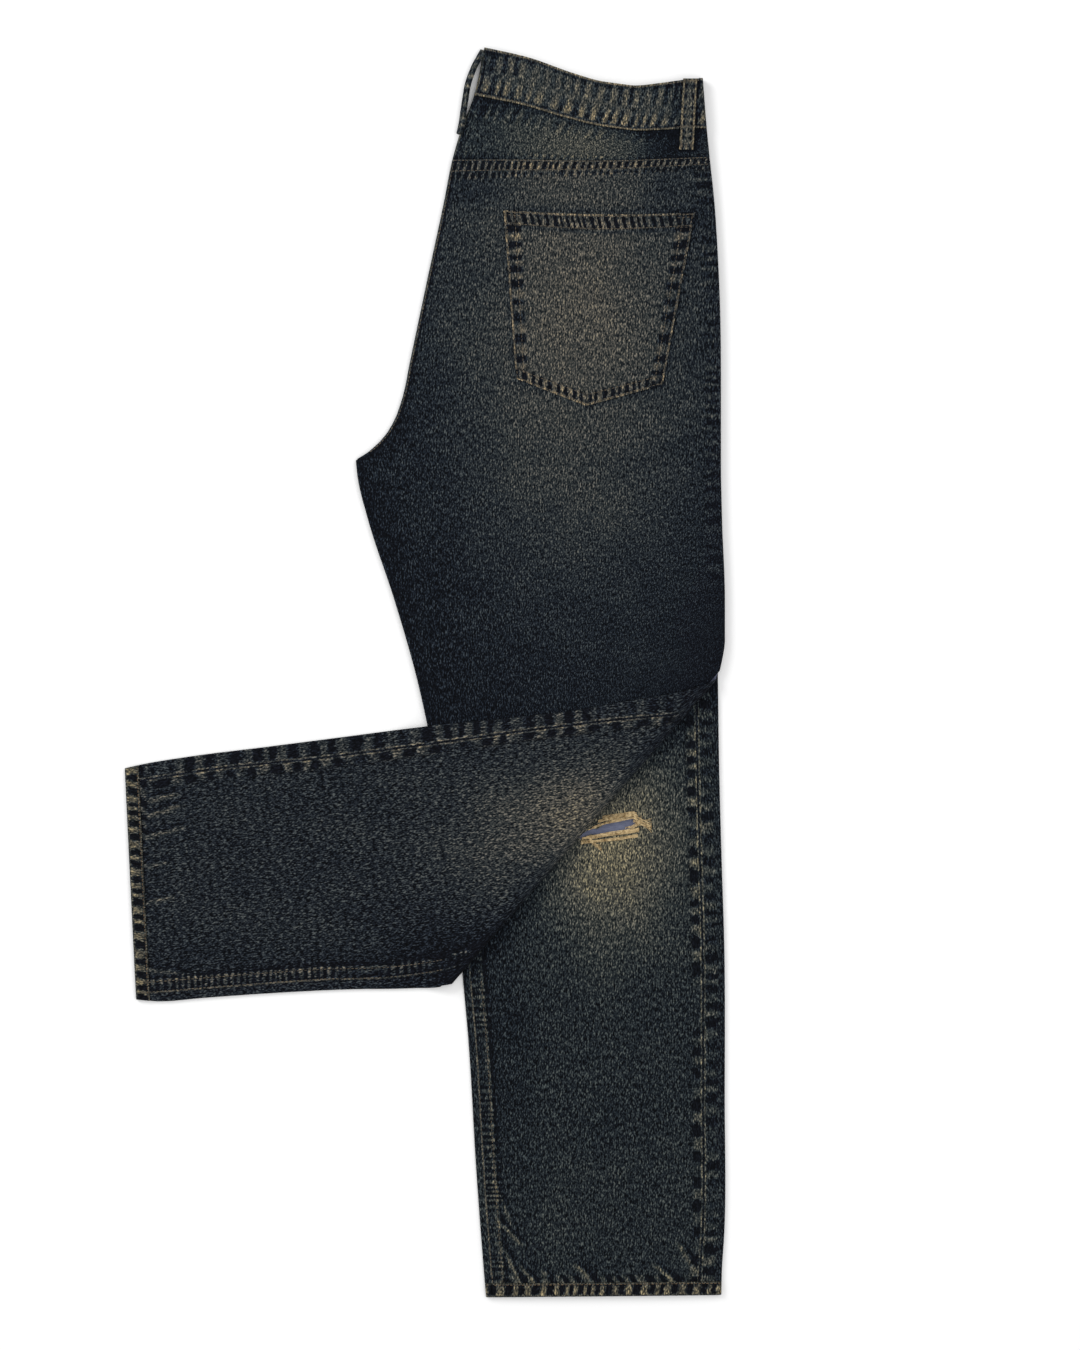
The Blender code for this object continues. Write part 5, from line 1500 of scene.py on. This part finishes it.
def make_frayed_threads(ground):
    rng = np.random.default_rng(4)
    lower = [(128, -146.5), (138, -145.5), (150, -144.0), (162, -142.2), (175, -140.4), (188, -138.0)]
    upper = [(134, -141.0), (146, -136.6), (158, -132.6), (170, -129.8), (187, -126.2)]
    guides = [(lower, 0.8, 0.5, 22),
              ([(137, -149.6), (150, -148.2), (168, -145.9), (187, -142.8)], 0.55, 0.6, 11),
              (upper, 0.4, 0.35, 9), ([(176, -139), (186, -134), (190, -129)], 0.9, 1.2, 9),
              ([(152, -130.6), (161, -128.4), (173, -126.2), (186, -124.2)], 0.6, 0.5, 10),
              ([(156, -127.4), (170, -124.2), (184, -121.6)], 0.4, 0.3, 5),
              ([(183, -130), (191, -131.5), (199, -134)], 1.5, 2.2, 16),
              ([(144, -147.0), (149, -150.5), (155, -153.8)], 1.3, 1.4, 8)]
    lines = []
    for guide, spread, stray, count in guides:
        for _ in range(count):
            line = strand(guide, rng, spread, stray)
            line = line[from_fold(line[:, 0], line[:, 1]) < -1.6]
            if len(line) < 3:
                continue
            level = laid_on(ground, line[:, :2], 0.0)
            low = np.clip(level[:, 2], 3.7, 5.4)
            low = np.convolve(np.pad(low, 2, mode="edge"), np.ones(5) / 5, mode="valid")
            line[:, 2] = np.maximum(low, level[:, 2]) + 0.15 + line[:, 2] * 0.7
            lines.append(line)
    made = grown_piece("frayed_threads", lines, frayed_tree, {"Thread radius": 0.00024, "Seed": 7}, FRAYED)
    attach(made, "root")


# Floor, light and camera
def make_floor():
    mesh = bpy.data.meshes.new("floor")
    mesh.from_pydata([(-4, -4, -0.0003), (4, -4, -0.0003), (4, 4, -0.0003), (-4, 4, -0.0003)], [],
                     [(0, 1, 2, 3)])
    mesh.materials.append(floor_material())
    floor = new_object("floor", mesh)


# The photograph's frame as it lies on the floor and the camera above it, in metres, and the sensor's
# height in millimetres
FRAME_HEIGHT, FRAME_CENTRE, CAMERA_HEIGHT, SENSOR_HEIGHT = 1.188, (0.101, -0.002), 3.2, 36.0


def light_and_camera():
    scene = bpy.context.scene
    scene.view_settings.view_transform = "Standard"
    world = bpy.data.worlds.new("soft white studio")
    world.use_nodes = True
    world.node_tree.nodes["Background"].inputs["Color"].default_value = (1.0, 1.0, 1.0, 1.0)
    world.node_tree.nodes["Background"].inputs["Strength"].default_value = 0.62
    scene.world = world
    for name, place, size, power in (("window", (-2.1, 1.7, 1.9), 1.5, 50.0),
                                     ("fill", (0.9, 0.0, 3.4), 2.6, 46.0)):
        data = bpy.data.lights.new(name, "AREA")
        data.shape = "SQUARE"
        data.size = size
        data.energy = power
        lamp = new_object(name, data)
        lamp.location = place
        lamp.rotation_euler = (Vector((0.05, 0.0, 0.0)) - Vector(place)).to_track_quat("-Z", "Y").to_euler()
    data = bpy.data.cameras.new("camera")
    data.sensor_fit = "VERTICAL"
    data.sensor_height = SENSOR_HEIGHT
    data.lens = SENSOR_HEIGHT * CAMERA_HEIGHT / FRAME_HEIGHT
    camera = new_object("camera", data)
    camera.location = (*FRAME_CENTRE, CAMERA_HEIGHT)
    scene.camera = camera


def main():
    make_lower_back()
    make_lower_front()
    make_lower_hem()
    make_lower_yoke_and_band()
    make_front_bands()
    make_hidden_fronts()
    make_upper_back()
    make_upper_yoke()
    make_upper_band()
    make_turned_leg()
    make_turned_hem()
    make_pocket()
    make_side_loop()
    make_centre_loop()
    make_stitches(cloth_from_above(pieces))
    make_frayed_threads(cloth_from_above(["left_front_panel", "left_back_panel"]))
    make_floor()
    light_and_camera()


main()
